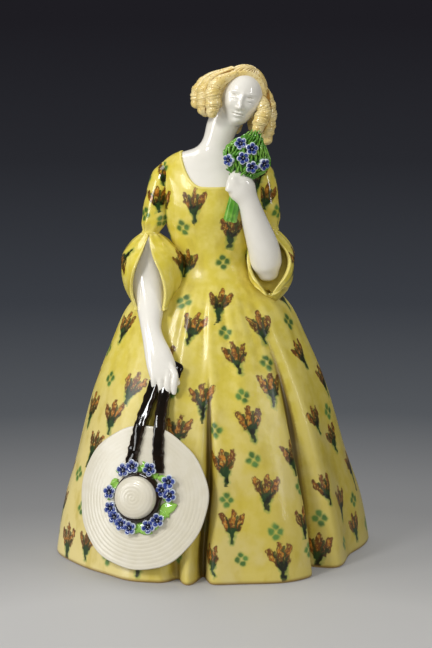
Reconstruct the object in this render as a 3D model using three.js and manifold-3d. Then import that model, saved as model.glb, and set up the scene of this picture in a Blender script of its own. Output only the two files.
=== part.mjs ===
// A glazed earthenware lady in a wide dress, holding a posy and a straw hat.
// Millimetres. Z is up, the figure faces -Y, and +X is the viewer's right.
// "Right" and "left" in the names of pieces are the lady's own sides.

import * as THREE from 'three';
import { mergeVertices } from 'three/addons/utils/BufferGeometryUtils.js';
import Module from 'manifold-3d';

const wasm = await Module();
wasm.setup();

// Driving sizes: the dress.
const skirtHeight = 172;
const hemHalfWidth = 96.5;
const hemHalfDepth = 85;
const skirtSway = 2.4;
const skirtWall = 5;
const waistHalfWidth = 20.8;
const waistHalfDepth = 16.5;
const bustHalfWidth = 30.5;
const bustHalfDepth = 20.5;
const shoulderHalfWidth = 32.5;
const torsoLength = 77;
const bodiceWall = 5;
const clothThickness = 1.2;
const necklineHalfWidth = 21.5;
const necklineHeight = 55.5;
const necklineBackRise = 14;

// Driving sizes: head, neck and hair.
const neckHalfWidth = 9;
const headHalfWidth = 13.3;
const headHalfDepth = 15;
const headHalfHeight = 17.5;
const headTilt = 14;
const hairThickness = 2.1;
const curlRadius = 4.7;

// Driving sizes: sleeves, cuffs and arms.
const sleeveHalfWidth = 8.4;
const knotRadius = 5.6;
const cuffLength = 37;
const cuffHalfWidth = 17;
const cuffThickness = 1.8;
const forearmHalfWidth = 8;
const wristHalfWidth = 6.1;
const palmHalfWidth = 8.4;
const fingerRadius = 2.1;

// Driving sizes: the hat that leans on the skirt.
const brimRadius = 42.2;
const brimThickness = 2.2;
const brimBendRadius = 135;
const hatAngle = -30.9;
const hatTurn = -24;
const hatHeight = 49.7;
const hatLean = 14;
const crownRadius = 12.4;
const crownHeight = 9.5;
const bandWidth = 2.5;
const bandHeight = 3.6;
const wreathRadius = 18.9;
const flowerRadius = 3.7;
const flowerHeight = 1.7;
const leafLength = 9;
const leafThickness = 1;
const ribbonWidth = 6.1;
const ribbonThickness = 1.6;

// Driving sizes: the posy in the left hand.
const posyHalfWidth = 13.4;
const posyHalfHeight = 15.5;
const posyHalfDepth = 8.5;
const stemRadius = 3.9;
const stemLength = 21;

// Every luted joint keeps this gap between its two pieces.
const jointGap = 0.3;

// Facets flatter than this are merged.
const finestDetail = 0.08;

const waist = skirtHeight;
const degrees = THREE.MathUtils.degToRad;
const front = new THREE.Vector3(0, -1, 0);
const vec = (x, y, z) => new THREE.Vector3(x, y, z);
const aboveWaist = (x, y, z) => vec(x, y, waist + z);

// Solids: closed meshes, their joins and their cuts.

function solid(points, faces) {
  let volume = 0;
  for (const [a, b, c] of faces) {
    volume += points[a].dot(points[b].clone().cross(points[c]));
  }
  const triVerts = new Uint32Array(faces.length * 3);
  faces.forEach(([a, b, c], i) => triVerts.set(volume > 0 ? [a, b, c] : [a, c, b], i * 3));
  const vertProperties = new Float32Array(points.length * 3);
  points.forEach((p, i) => vertProperties.set([p.x, p.y, p.z], i * 3));
  return new wasm.Manifold(new wasm.Mesh({ numProp: 3, vertProperties, triVerts }));
}

function solidOf(geometry) {
  const bare = geometry.clone();
  bare.deleteAttribute('normal');
  bare.deleteAttribute('uv');
  const merged = mergeVertices(bare, 1e-4);
  const position = merged.attributes.position;
  const points = [];
  for (let i = 0; i < position.count; i++) points.push(vec().fromBufferAttribute(position, i));
  const faces = [];
  for (let i = 0; i < merged.index.count; i += 3) {
    const face = [0, 1, 2].map((k) => merged.index.getX(i + k));
    if (new Set(face).size === 3) faces.push(face);
  }
  return solid(points, faces);
}

function geometryOf(shape) {
  const mesh = shape.getMesh();
  const geometry = new THREE.BufferGeometry();
  geometry.setAttribute('position', new THREE.BufferAttribute(mesh.vertProperties, 3));
  geometry.setIndex(new THREE.BufferAttribute(mesh.triVerts, 1));
  geometry.computeVertexNormals();
  return geometry;
}

function largest(shape) {
  return shape.decompose().reduce((best, s) => (s.volume() > best.volume() ? s : best));
}

// The same shape with each corner moved out along its normal, or in where the step is below 0.
function grown(shape, stepAt) {
  const geometry = geometryOf(shape);
  const position = geometry.attributes.position;
  const normal = geometry.attributes.normal;
  for (let i = 0; i < position.count; i++) {
    const corner = vec().fromBufferAttribute(position, i);
    const step = stepAt(corner);
    const way = vec().fromBufferAttribute(normal, i);
    if (!(way.length() > 0.5)) way.set(0, 0, 1);
    const moved = way.multiplyScalar(step).add(corner);
    position.setXYZ(i, moved.x, moved.y, moved.z);
  }
  return new wasm.Manifold(new wasm.Mesh({
    numProp: 3, vertProperties: position.array, triVerts: geometry.index.array,
  }));
}

// Two corners that nearly touch are drawn apart, so that they don't fuse.
function parted(shape) {
  const passed = [];
  return grown(shape, (corner) => {
    const touching = passed.filter((other) => other.distanceTo(corner) < finestDetail / 10);
    passed.push(corner);
    return -touching.length * finestDetail / 2;
  });
}

// A skin through rings of equal length. It is capped at both ends, or runs on from the
// last ring to the first.
function loft(rings, runsOn = false) {
  const count = rings[0].length;
  const points = rings.flat();
  const faces = [];
  const bands = runsOn ? rings.length : rings.length - 1;
  for (let r = 0; r < bands; r++) {
    const low = r * count;
    const high = ((r + 1) % rings.length) * count;
    for (let i = 0; i < count; i++) {
      const j = (i + 1) % count;
      faces.push([low + i, low + j, high + j], [low + i, high + j, high + i]);
    }
  }
  if (!runsOn) {
    const start = points.push(middle(rings[0])) - 1;
    const end = points.push(middle(rings[rings.length - 1])) - 1;
    const top = (rings.length - 1) * count;
    for (let i = 0; i < count; i++) {
      const j = (i + 1) % count;
      faces.push([start, j, i], [end, top + i, top + j]);
    }
  }
  return solid(points, faces);
}

function middle(points) {
  const sum = points.reduce((total, p) => total.add(p), vec(0, 0, 0));
  return sum.divideScalar(points.length);
}

// A rounded limb: stations [place, half width, half depth] joined by a smooth curve. The
// half depth is measured towards the way that it faces.
function limb(stations, { sides = 12, perStation = 2, facing = front } = {}) {
  const spine = new THREE.CatmullRomCurve3(stations.map((s) => s[0]), false, 'centripetal');
  const steps = (stations.length - 1) * perStation;
  const rings = [];
  for (let k = 0; k <= steps; k++) {
    const t = k / steps;
    const along = spine.getTangent(t);
    const side = along.clone().cross(facing).normalize();
    const out = side.clone().cross(along).normalize();
    const [wide, deep] = [1, 2].map((axis) => smoothAt(stations.map((s) => s[axis]), t));
    const ring = [];
    for (let i = 0; i < sides; i++) {
      const turn = (i / sides) * Math.PI * 2;
      const point = spine.getPoint(t).addScaledVector(side, Math.cos(turn) * wide);
      ring.push(point.addScaledVector(out, Math.sin(turn) * deep));
    }
    rings.push(ring);
  }
  return loft(rings);
}

// A smooth curve through evenly spaced values, at 0 to 1 along it.
function smoothAt(values, t) {
  const place = Math.min(t * (values.length - 1), values.length - 1 - 1e-9);
  const i = Math.floor(place);
  const f = place - i;
  const [a, b, c, d] = [-1, 0, 1, 2].map((k) => {
    return values[THREE.MathUtils.clamp(i + k, 0, values.length - 1)];
  });
  const rise = (c - a) / 2;
  const fall = (d - b) / 2;
  return b + f * (rise + f * (3 * (c - b) - 2 * rise - fall + f * (2 * (b - c) + rise + fall)));
}

// A smooth curve through unevenly spaced pairs, read at x.
function curveAt(pairs, x) {
  let i = 0;
  while (i < pairs.length - 2 && x > pairs[i + 1][0]) i++;
  const slope = (k) => {
    const low = pairs[Math.max(k - 1, 0)];
    const high = pairs[Math.min(k + 1, pairs.length - 1)];
    return (high[1] - low[1]) / (high[0] - low[0]);
  };
  const [x0, y0] = pairs[i];
  const [x1, y1] = pairs[i + 1];
  const span = x1 - x0;
  const f = (x - x0) / span;
  const [m0, m1] = [slope(i) * span, slope(i + 1) * span];
  return y0 + f * (m0 + f * (3 * (y1 - y0) - 2 * m0 - m1 + f * (2 * (y0 - y1) + m0 + m1)));
}

function ellipsoid(centre, radii, { across = 14, down = 8, roll = 0 } = {}) {
  const geometry = new THREE.SphereGeometry(1, across, down);
  geometry.rotateX(Math.PI / 2);
  geometry.scale(...radii);
  geometry.rotateY(roll);
  geometry.translate(...centre);
  return solidOf(geometry);
}

// The figure: a piece is cut back from each piece that was placed before it.

const figure = new THREE.Group();
const placed = [];

function boxesMeet(a, b) {
  return [0, 1, 2].every((k) => a.min[k] < b.max[k] && b.min[k] < a.max[k]);
}

function place(name, shape, glaze) {
  let piece = shape;
  for (const other of placed) {
    if (boxesMeet(other.fat.boundingBox(), piece.boundingBox())) {
      piece = piece.subtract(other.fat);
      if (piece.intersect(other.piece).volume() > 0) piece = piece.subtract(other.piece);
    }
  }
  piece = largest(parted(parted(largest(piece.simplify(finestDetail)))));
  placed.push({ piece, fat: grown(piece, () => jointGap) });
  const mesh = new THREE.Mesh(geometryOf(piece), new THREE.MeshStandardMaterial(glaze));
  mesh.name = name;
  figure.add(mesh);
  return piece;
}

const yellowGlaze = { color: 0xd9c65c, roughness: 0.16, metalness: 0 };
const whiteGlaze = { color: 0xebe6dc, roughness: 0.14, metalness: 0 };
const strawGlaze = { color: 0xe9e4cf, roughness: 0.2, metalness: 0 };
const hairGlaze = { color: 0xdcc188, roughness: 0.22, metalness: 0 };
const blackGlaze = { color: 0x15120f, roughness: 0.1, metalness: 0 };
const greenGlaze = { color: 0x4f9a35, roughness: 0.16, metalness: 0 };
const blueGlaze = { color: 0x2c3f9c, roughness: 0.16, metalness: 0 };

// Skirt: a hollow bell, open below, with folds that fade towards the waist.

// Share of the height below the waist, and share of the flare reached there: to the
// sides, then to the front and back. The last table is the share of its sway there.
const sideFlare = [[0, 0], [0.02, 0.07], [0.05, 0.2], [0.105, 0.36], [0.233, 0.505], [0.378, 0.645],
  [0.529, 0.751], [0.68, 0.84], [0.814, 0.933], [1, 1]];
const frontFlare = [[0, 0], [0.02, 0.045], [0.05, 0.12], [0.105, 0.215], [0.233, 0.385], [0.378, 0.555],
  [0.529, 0.71], [0.68, 0.84], [0.814, 0.933], [1, 1]];
const swayShape = [[0, 0], [0.1, 1], [0.3, 0.8], [0.6, 0.5], [1, 0]];

// Angle from the front, half spread in degrees, depth at the hem (a ridge is negative)
// and the share of the skirt's height at which the fold has gone.
const folds = [
  { at: -5, spread: 2.7, depth: 16, top: 0.68 },
  { at: -9, spread: 3.2, depth: -3, top: 0.5 },
  { at: -16, spread: 2.8, depth: 9, top: 0.16 },
  { at: -33, spread: 9, depth: -4, top: 0.1 },
  { at: 30, spread: 11, depth: -4, top: 0.75 },
  { at: 48.5, spread: 4.6, depth: 20, top: 0.96 },
  { at: 74, spread: 13, depth: 7.5, top: 0.9 },
  { at: 103, spread: 10, depth: -5, top: 0.9 },
  { at: 124, spread: 6, depth: 9, top: 0.9 },
  { at: 150, spread: 5, depth: 7, top: 0.7 },
  { at: 178, spread: 7, depth: 9, top: 0.92 },
  { at: -153, spread: 5, depth: 8, top: 0.75 },
  { at: -124, spread: 6, depth: 9, top: 0.92 },
  { at: -99, spread: 4, depth: 6, top: 0.85 },
  { at: -78, spread: 9, depth: -2.5, top: 0.8 },
];

const hemSides = 112;
const skirtRings = [0, 0.1, 0.26, 0.44, 0.6, 0.74, 0.85, 0.92, 0.96, 0.982, 1];
const cavityRings = [0, 0.26, 0.6, 0.86, 0.96, 1];
const foldReach = 6;

// How far the skirt reaches from its axis, at an angle from the front.
function skirtRadius(angle, height) {
  const drop = 1 - height / skirtHeight;
  const wide = waistHalfWidth + (hemHalfWidth - waistHalfWidth) * curveAt(sideFlare, drop);
  const deep = waistHalfDepth + (hemHalfDepth - waistHalfDepth) * curveAt(frontFlare, drop);
  let radius = 1 / Math.hypot(Math.sin(angle) / wide, Math.cos(angle) / deep);
  for (const fold of folds) {
    const off = THREE.MathUtils.euclideanModulo(angle - degrees(fold.at) + Math.PI, Math.PI * 2);
    const across = (off - Math.PI) / degrees(fold.spread);
    const fade = 1 - THREE.MathUtils.smoothstep(height / skirtHeight, 0, fold.top);
    radius -= fold.depth * fade * (wide / hemHalfWidth) * Math.exp(-across * across);
  }
  return radius;
}

function cavityRadius(angle, height) {
  let least = Infinity;
  for (let k = -2; k <= 2; k++) {
    least = Math.min(least, skirtRadius(angle + degrees(foldReach * k / 2), height));
  }
  return least - skirtWall;
}

// A point round the skirt's axis, which sways to her right on the way down.
function roundAxis(angle, radius, height) {
  const sway = skirtSway * curveAt(swayShape, 1 - height / skirtHeight);
  return vec(Math.sin(angle) * radius - sway, -Math.cos(angle) * radius, height);
}

function skirtPoint(angle, height, out = 0) {
  return roundAxis(degrees(angle), skirtRadius(degrees(angle), height) + out, height);
}

function skirtRing(radiusAt, height) {
  return Array.from({ length: hemSides }, (_, i) => {
    const angle = (i / hemSides) * Math.PI * 2;
    return roundAxis(angle, radiusAt(angle, height), height);
  });
}

const skirtSkin = skirtRings.map((share) => skirtRing(skirtRadius, share * skirtHeight));
const skirtHollow = cavityRings.map((share) => skirtRing(cavityRadius, share * skirtHeight));
place('skirt', loft([...skirtSkin, ...skirtHollow.reverse()], true), yellowGlaze);

// Bodice: hollow from the waist up, with a wide U of chest left open at the neck.

// Share of the torso's length, half width, half depth and how far forward it leans.
const torsoShape = [
  [0, waistHalfWidth, waistHalfDepth, 0],
  [0.12, waistHalfWidth, waistHalfDepth, 0],
  [0.31, waistHalfWidth * 0.4 + bustHalfWidth * 0.6, (waistHalfDepth + bustHalfDepth) / 2, 1],
  [0.5, bustHalfWidth, bustHalfDepth, 2.5],
  [0.68, (bustHalfWidth + shoulderHalfWidth) / 2, bustHalfDepth * 0.95, 2],
  [0.8, shoulderHalfWidth, bustHalfDepth * 0.8, 0.5],
  [0.89, shoulderHalfWidth * 0.94, bustHalfDepth * 0.66, -1],
  [0.96, shoulderHalfWidth * 0.7, bustHalfDepth * 0.54, -2],
  [1, shoulderHalfWidth * 0.36, bustHalfDepth * 0.42, -2],
];
const torsoSides = 28;
const cavityTop = 0.56;

function torsoRing(share, inset, drop) {
  const read = (column) => curveAt(torsoShape.map((row) => [row[0], row[column]]), share);
  return Array.from({ length: torsoSides }, (_, i) => {
    const angle = (i / torsoSides) * Math.PI * 2;
    const x = Math.sin(angle) * (read(1) - inset);
    const y = -Math.cos(angle) * (read(2) - inset) - read(3);
    return aboveWaist(x, y, share * torsoLength - drop);
  });
}

function torso(inset, drop) {
  const shares = [0, 0.13, 0.28, 0.4, 0.5, 0.6, 0.7, 0.8, 0.88, 0.94, 0.98, 1];
  return loft(shares.map((share) => torsoRing(share, inset, drop)));
}

// Everything above a U-shaped line, which climbs from the chest to the back.
function aboveNeckline() {
  const outline = new THREE.Shape();
  const corner = necklineHalfWidth * 0.62;
  const top = torsoLength * 1.4;
  outline.moveTo(-necklineHalfWidth, top);
  outline.lineTo(-necklineHalfWidth, torsoLength);
  outline.quadraticCurveTo(-necklineHalfWidth * 0.8, necklineHeight, -corner * 0.5, necklineHeight);
  outline.lineTo(corner * 0.5, necklineHeight);
  outline.quadraticCurveTo(necklineHalfWidth * 0.8, necklineHeight, necklineHalfWidth, torsoLength);
  outline.lineTo(necklineHalfWidth, top);
  const depth = bustHalfDepth * 4;
  const geometry = new THREE.ExtrudeGeometry(outline, {
    depth, steps: 1, bevelEnabled: false, curveSegments: 4,
  });
  geometry.translate(0, 0, -depth / 2);
  geometry.rotateX(Math.PI / 2);
  const climb = necklineBackRise / (bustHalfDepth * 2);
  const slope = new THREE.Matrix4().set(1, 0, 0, 0, 0, 1, 0, 0, 0, climb, 1, 0, 0, 0, 0, 1);
  geometry.applyMatrix4(slope);
  geometry.translate(0, 0, waist + bustHalfDepth * climb);
  return solidOf(geometry);
}

const hollowShares = [0, 0.12, 0.31, 0.46, cavityTop];
const bodiceHollow = loft([
  torsoRing(0, bodiceWall, 1),
  ...hollowShares.map((share) => torsoRing(share, bodiceWall * (share < cavityTop ? 1 : 2), 0)),
]);
place('bodice', torso(0, 0).subtract(bodiceHollow).subtract(aboveNeckline()), yellowGlaze);

// Sleeves: close-fitting, from the shoulder to a gathered knot at the elbow.

// One row for each arm: sign of its side, shoulder, and the knot at the elbow.
const arms = {
  right: { side: -1, shoulder: aboveWaist(-28, 1, 62.5), knot: aboveWaist(-38.2, -5, 26) },
  left: { side: 1, shoulder: aboveWaist(27.5, 1, 64), knot: aboveWaist(34.5, -5, 28) },
};

function between(a, b, share, out = vec(0, 0, 0)) {
  return a.clone().lerp(b, share).add(out);
}

for (const [name, arm] of Object.entries(arms)) {
  const bow = vec(arm.side * 0.9, -0.5, 0);
  const sleeve = limb([
    [between(arm.shoulder, arm.knot, -0.08), sleeveHalfWidth * 0.62, sleeveHalfWidth * 0.7],
    [between(arm.shoulder, arm.knot, 0.07, bow), sleeveHalfWidth * 0.93, sleeveHalfWidth * 1.05],
    [between(arm.shoulder, arm.knot, 0.3, bow), sleeveHalfWidth, sleeveHalfWidth * 1.1],
    [between(arm.shoulder, arm.knot, 0.6), sleeveHalfWidth * 1.02, sleeveHalfWidth],
    [between(arm.shoulder, arm.knot, 0.85), sleeveHalfWidth * 0.84, sleeveHalfWidth * 0.82],
    [arm.knot, knotRadius * 0.85, knotRadius * 0.85],
  ], { sides: 14 });
  place(`${name}_sleeve`, sleeve, yellowGlaze);
}

// Head: an egg that narrows to the chin, leaning to the viewer's right.

const headCentre = aboveWaist(17, -4, 107.8);

function headShape(extra) {
  const geometry = new THREE.SphereGeometry(1, 18, 12);
  geometry.rotateX(Math.PI / 2);
  const position = geometry.attributes.position;
  for (let i = 0; i < position.count; i++) {
    const z = position.getZ(i);
    const narrow = 1 - 0.26 * THREE.MathUtils.smoothstep(-z, -0.1, 1);
    const chin = 0.16 * THREE.MathUtils.smoothstep(-z, 0.3, 1);
    position.setX(i, position.getX(i) * narrow * (headHalfWidth + extra));
    position.setY(i, (position.getY(i) * narrow - chin) * (headHalfDepth + extra));
    position.setZ(i, z * (headHalfHeight + extra));
  }
  geometry.rotateY(degrees(headTilt));
  geometry.translate(...headCentre);
  return solidOf(geometry);
}

place('head', headShape(0), whiteGlaze);

// Chest and neck: one white piece that fills the neckline.

const neckFoot = aboveWaist(0.5, 2.5, torsoLength - 9);
const neck = limb([
  [neckFoot, neckHalfWidth * 2.5, neckHalfWidth * 1.15],
  [between(neckFoot, headCentre, 0.12, vec(-1.6, 0.4, 0)), neckHalfWidth * 1.62, neckHalfWidth * 1.06],
  [between(neckFoot, headCentre, 0.28, vec(-3, 0.8, 0)), neckHalfWidth * 1.06, neckHalfWidth],
  [between(neckFoot, headCentre, 0.58, vec(-5.2, 1.5, 0)), neckHalfWidth * 0.97, neckHalfWidth * 0.98],
  [between(neckFoot, headCentre, 0.88, vec(-5.2, 2.5, 0)), neckHalfWidth, neckHalfWidth],
], { sides: 14 });
place('neck_and_chest', torso(clothThickness, 0).intersect(aboveNeckline()).add(neck), whiteGlaze);

// Hair: a cap that leaves the face free, and sausage curls at both sides and behind.

const onHead = (x, y, z) => {
  const up = vec(x, y, z).applyAxisAngle(vec(0, 1, 0), degrees(headTilt));
  return up.add(headCentre);
};
const faceWindow = ellipsoid(
  onHead(headHalfWidth * 0.12, -headHalfDepth * 1.3, -headHalfHeight * 0.34),
  [headHalfWidth * 1.3, headHalfDepth * 1.28, headHalfHeight * 1.3],
  { roll: degrees(headTilt) },
);
const nape = ellipsoid(
  onHead(0, 0, -headHalfHeight * 1.25),
  [headHalfWidth * 1.4, headHalfDepth * 1.4, headHalfHeight * 0.72],
  { roll: degrees(headTilt) },
);
place('hair_cap', headShape(hairThickness).subtract(faceWindow).subtract(nape), hairGlaze);

// Each curl: where it leaves the cap, where it swells, and its tip, from the head's centre.
const curls = {
  right_curl: [
    [[-4, -8.5, 14.5], [-16.6, -9.5, 5], [-17.8, -9.5, -8.5]],
    [[-5, -3, 16.5], [-21.8, -4, 4.5], [-23.2, -4, -7]],
    [[-6, 4, 16.5], [-25.2, 3, 4], [-27.2, 2.5, -3.5]],
    [[-9, 9.5, 13], [-20.5, 9.5, 2.5], [-21.6, 9.5, -9]],
  ],
  left_curl: [
    [[12, -3, 2], [13, -7, -9], [9.5, -8.5, -18]],
    [[12, -1, 8], [16.4, -2, -9], [15, -3, -25]],
    [[11, 7, 7], [15.6, 7.5, -8], [15.2, 7, -21]],
  ],
  back_curl: [
    [[-6, 13, 7], [-12, 17, -3], [-13, 16.5, -17]],
    [[1, 14.5, 8], [-2, 19.5, -4], [-3, 18.5, -20]],
    [[8, 13, 7], [8.5, 17.5, -5], [7.5, 16.5, -19]],
  ],
};

for (const [family, routes] of Object.entries(curls)) {
  routes.forEach((route, i) => {
    const [root, belly, tip] = route.map((p) => headCentre.clone().add(vec(...p)));
    const curl = limb([
      [root, curlRadius * 0.45, curlRadius * 0.45],
      [between(root, belly, 0.5, belly.clone().sub(root).setZ(0).multiplyScalar(0.22)),
        curlRadius * 0.82, curlRadius * 0.82],
      [belly, curlRadius, curlRadius],
      [between(belly, tip, 0.62), curlRadius * 0.92, curlRadius * 0.92],
      [tip, curlRadius * 0.4, curlRadius * 0.4],
    ], { sides: 8 });
    place(`${family}_${i + 1}`, curl, hairGlaze);
  });
}

// Hat: a straw disc bent to the skirt, with a low crown, a band and a wreath.

const hatOut = vec(
  Math.sin(degrees(hatTurn)) * Math.cos(degrees(hatLean)),
  -Math.cos(degrees(hatTurn)) * Math.cos(degrees(hatLean)),
  Math.sin(degrees(hatLean)),
);
const hatSide = hatOut.clone().cross(vec(0, 0, 1)).normalize().negate();
const hatUp = hatOut.clone().cross(hatSide).normalize();
const hatSeat = skirtPoint(hatAngle, hatHeight, brimThickness * 2.6);

// A point on the bent brim: across it, up it, and out from its face.
function onHat(across, up, out) {
  const bend = across / brimBendRadius;
  const reach = brimBendRadius + out;
  return hatSeat.clone()
    .addScaledVector(hatUp, up)
    .addScaledVector(hatSide, Math.sin(bend) * reach)
    .addScaledVector(hatOut, Math.cos(bend) * reach - brimBendRadius);
}

// A body of round outlines stacked outwards from the hat: [radius, height out].
function hatStack(levels, sides) {
  return loft(levels.map(([radius, out]) => Array.from({ length: sides }, (_, i) => {
    const turn = (i / sides) * Math.PI * 2;
    return onHat(Math.cos(turn) * radius, Math.sin(turn) * radius, out);
  })));
}

// The clay behind the middle of the brim reaches in to the skirt.
const brimBacking = brimRadius * 0.8;
const backingDepth = brimThickness * 5;
const brim = hatStack([
  [brimBacking * 0.9, -backingDepth],
  [brimBacking, -brimThickness],
  [brimRadius - 0.5, -brimThickness],
  [brimRadius, -brimThickness / 2],
  [brimRadius - 0.8, 0],
  [brimRadius * 0.55, 0],
], 40);
place('hat_brim', brim, strawGlaze);

const crown = hatStack([
  [crownRadius, jointGap],
  [crownRadius, crownHeight * 0.45],
  [crownRadius * 0.93, crownHeight * 0.78],
  [crownRadius * 0.68, crownHeight * 0.95],
  [crownRadius * 0.34, crownHeight],
], 24);
place('hat_crown', crown, strawGlaze);

const band = hatStack([
  [crownRadius + bandWidth, jointGap],
  [crownRadius + bandWidth, bandHeight * 0.7],
  [crownRadius + bandWidth * 0.6, bandHeight],
], 24);
place('hat_band', band, blackGlaze);

// Leaves and flowers of the wreath: angle round the crown, from the viewer's right.
const leafPlaces = [
  { at: 88, length: 0.9, turn: 80 },
  { at: 50, length: 0.9, turn: 60 },
  { at: -24, length: 1.2, turn: 48 },
  { at: -36, length: 0.9, turn: -50 },
  { at: -82, length: 1, turn: 75 },
  { at: 150, length: 1, turn: 95 },
];
const flowerPlaces = [
  { at: 125 }, { at: 105 }, { at: 70 }, { at: 31, out: 3.2 }, { at: 22, out: -2.2 },
  { at: 10, out: 1.8 }, { at: -40 }, { at: -61 }, { at: -98 }, { at: -117 },
  { at: -136 }, { at: -154 }, { at: 176 },
];
const petals = 5;

// A leaf: a flat pointed oval with a raised rib, lying along a direction.
function leaf(pointAt, length) {
  const outline = [[0, 0], [0.25, 0.2], [0.55, 0.24], [0.82, 0.13], [1, 0]];
  const rim = [...outline, ...outline.slice(1, -1).reverse().map(([a, b]) => [a, -b])];
  const ring = (size, out) => rim.map(([along, across]) => {
    return pointAt((0.5 + (along - 0.5) * size) * length, across * size * length, out);
  });
  return loft([ring(0.92, 0), ring(1, leafThickness * 0.5), ring(0.6, leafThickness)]);
}

// A flower: five round petals on one plane, cupped a little at the middle.
function flower(pointAt, depth) {
  const sides = petals * 2;
  const ring = (size, out) => Array.from({ length: sides }, (_, i) => {
    const turn = (i / sides) * Math.PI * 2;
    const lobe = 0.8 + 0.2 * Math.abs(Math.cos(turn * petals / 2));
    const radius = flowerRadius * size * lobe;
    return pointAt(Math.cos(turn) * radius, Math.sin(turn) * radius, out);
  });
  return loft([
    ring(0.8, -depth), ring(1, flowerHeight * 0.55), ring(0.66, flowerHeight), ring(0.2, flowerHeight * 0.7),
  ]);
}

leafPlaces.forEach(({ at, length, turn }, i) => {
  const foot = crownRadius + bandWidth + 0.6;
  const angle = degrees(at);
  const heading = angle + degrees(turn);
  const shape = leaf((along, across, out) => onHat(
    Math.cos(angle) * foot + Math.cos(heading) * along - Math.sin(heading) * across,
    Math.sin(angle) * foot + Math.sin(heading) * along + Math.cos(heading) * across,
    out + jointGap,
  ), leafLength * length);
  place(`wreath_leaf_${i + 1}`, shape, greenGlaze);
});

flowerPlaces.forEach(({ at, out: shift = 0 }, i) => {
  const radius = wreathRadius + shift;
  const angle = degrees(at);
  const lift = leafThickness + jointGap;
  const shape = flower((across, up, out) => onHat(
    Math.cos(angle) * radius + across,
    Math.sin(angle) * radius + up,
    Math.max(out + lift, jointGap),
  ), lift);
  place(`wreath_flower_${i + 1}`, shape, blueGlaze);
});

// Right arm: it hangs in front of the skirt, and the hand lies on it.

const handAngle = -27.8;
const wristAngle = -41.2;
const handHeight = 118.8;
const rightElbow = arms.right.knot.clone().add(vec(0.5, -1.5, -8));
const rightWrist = skirtPoint(wristAngle, handHeight + 24, 9.5);
const rightKnuckles = skirtPoint(handAngle, handHeight, 6.5);
const palmMiddle = between(rightWrist, rightKnuckles, 0.6, vec(0, -1.5, 0));
const handAcross = vec(1, -0.25, -0.12).normalize();

function finger(root, tip, radius) {
  return limb([
    [root, radius, radius],
    [between(root, tip, 0.6, vec(0, -radius * 0.25, 0)), radius * 0.95, radius * 0.9],
    [tip, radius * 0.5, radius * 0.5],
  ], { sides: 6 });
}

let rightForearm = limb([
  [rightElbow, forearmHalfWidth * 0.62, forearmHalfWidth * 0.62],
  [between(rightElbow, rightWrist, 0.2, vec(-1, 4, 0)), forearmHalfWidth * 0.92, forearmHalfWidth * 0.82],
  [between(rightElbow, rightWrist, 0.42, vec(-1.5, 3, 0)), forearmHalfWidth * 1.14, forearmHalfWidth * 0.9],
  [between(rightElbow, rightWrist, 0.7, vec(-0.9, 2, 0)), forearmHalfWidth * 1.06, forearmHalfWidth * 0.82],
  [rightWrist, wristHalfWidth, wristHalfWidth * 0.78],
  [palmMiddle, palmHalfWidth * 0.98, palmHalfWidth * 0.52],
  [rightKnuckles, palmHalfWidth, palmHalfWidth * 0.46],
  [between(palmMiddle, rightKnuckles, 1.4, vec(0, 0.6, 0)), palmHalfWidth * 0.7, palmHalfWidth * 0.3],
], { sides: 14 });
const fingerDrops = [9.5, 11.5, 11.5, 9.5];
fingerDrops.forEach((drop, i) => {
  const across = (i - 1.5) * palmHalfWidth * 0.5;
  const root = rightKnuckles.clone().addScaledVector(handAcross, across).add(vec(0, -0.8, 0));
  const tip = root.clone().add(vec(0.6 - i * 0.5, -1.4, -drop));
  rightForearm = rightForearm.add(finger(root, tip, fingerRadius));
});
const thumbRoot = between(rightWrist, rightKnuckles, 0.45).addScaledVector(handAcross, palmHalfWidth * 0.7);
const thumbTip = rightKnuckles.clone()
  .addScaledVector(handAcross, palmHalfWidth * 0.95)
  .add(vec(0, -0.5, -3));
rightForearm = rightForearm.add(finger(thumbRoot, thumbTip, fingerRadius * 1.15));
place('right_forearm', rightForearm, whiteGlaze);

// Ribbons: from the hand down over the brim to the band, thick enough to lie on both.

const ribbonRuns = [
  { hand: -5.8, across: -7, up: 19 },
  { hand: 0.6, across: 11.2, up: 15.5 },
];
const ribbonBack = 5;

function ribbon(top, bottom, edge) {
  const path = new THREE.CatmullRomCurve3([top, edge, bottom], false, 'centripetal');
  const steps = 6;
  const rings = [];
  for (let k = 0; k <= steps; k++) {
    const at = path.getPoint(k / steps);
    const side = path.getTangent(k / steps).cross(hatOut).normalize();
    rings.push([[-0.5, 0], [-0.42, ribbonThickness * 0.6], [0.42, ribbonThickness * 0.6], [0.5, 0],
      [0.5, -ribbonBack], [-0.5, -ribbonBack]].map(([across, out]) => {
      return at.clone().addScaledVector(side, across * ribbonWidth).addScaledVector(hatOut, out);
    }));
  }
  return loft(rings);
}

ribbonRuns.forEach(({ hand, across, up }, i) => {
  const top = rightKnuckles.clone().addScaledVector(handAcross, hand).add(vec(0, -1, -4));
  const bottom = onHat(across, up, ribbonThickness * 0.6 + jointGap);
  const run = top.clone().sub(hatSeat);
  const share = (brimRadius - 3 - up) / (run.dot(hatUp) - up);
  const edge = onHat(across + (run.dot(hatSide) - across) * share, brimRadius - 3,
    ribbonThickness * 0.6 + jointGap);
  place(`ribbon_${i + 1}`, ribbon(top, bottom, edge), blackGlaze);
});

const bowTop = between(thumbRoot, thumbTip, 0.3).addScaledVector(handAcross, 2.6);
const bowEnd = between(thumbRoot, thumbTip, 0.8).addScaledVector(handAcross, 2.4);
place('ribbon_bow', limb([
  [bowTop, 0.8, 0.8],
  [between(bowTop, bowEnd, 0.45, vec(1.2, -0.5, 0)), 2, 1.7],
  [bowEnd, 0.9, 0.9],
], { sides: 8 }), blackGlaze);

// Left arm: bent up from the elbow, with the hand closed round the posy's stems.

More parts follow.
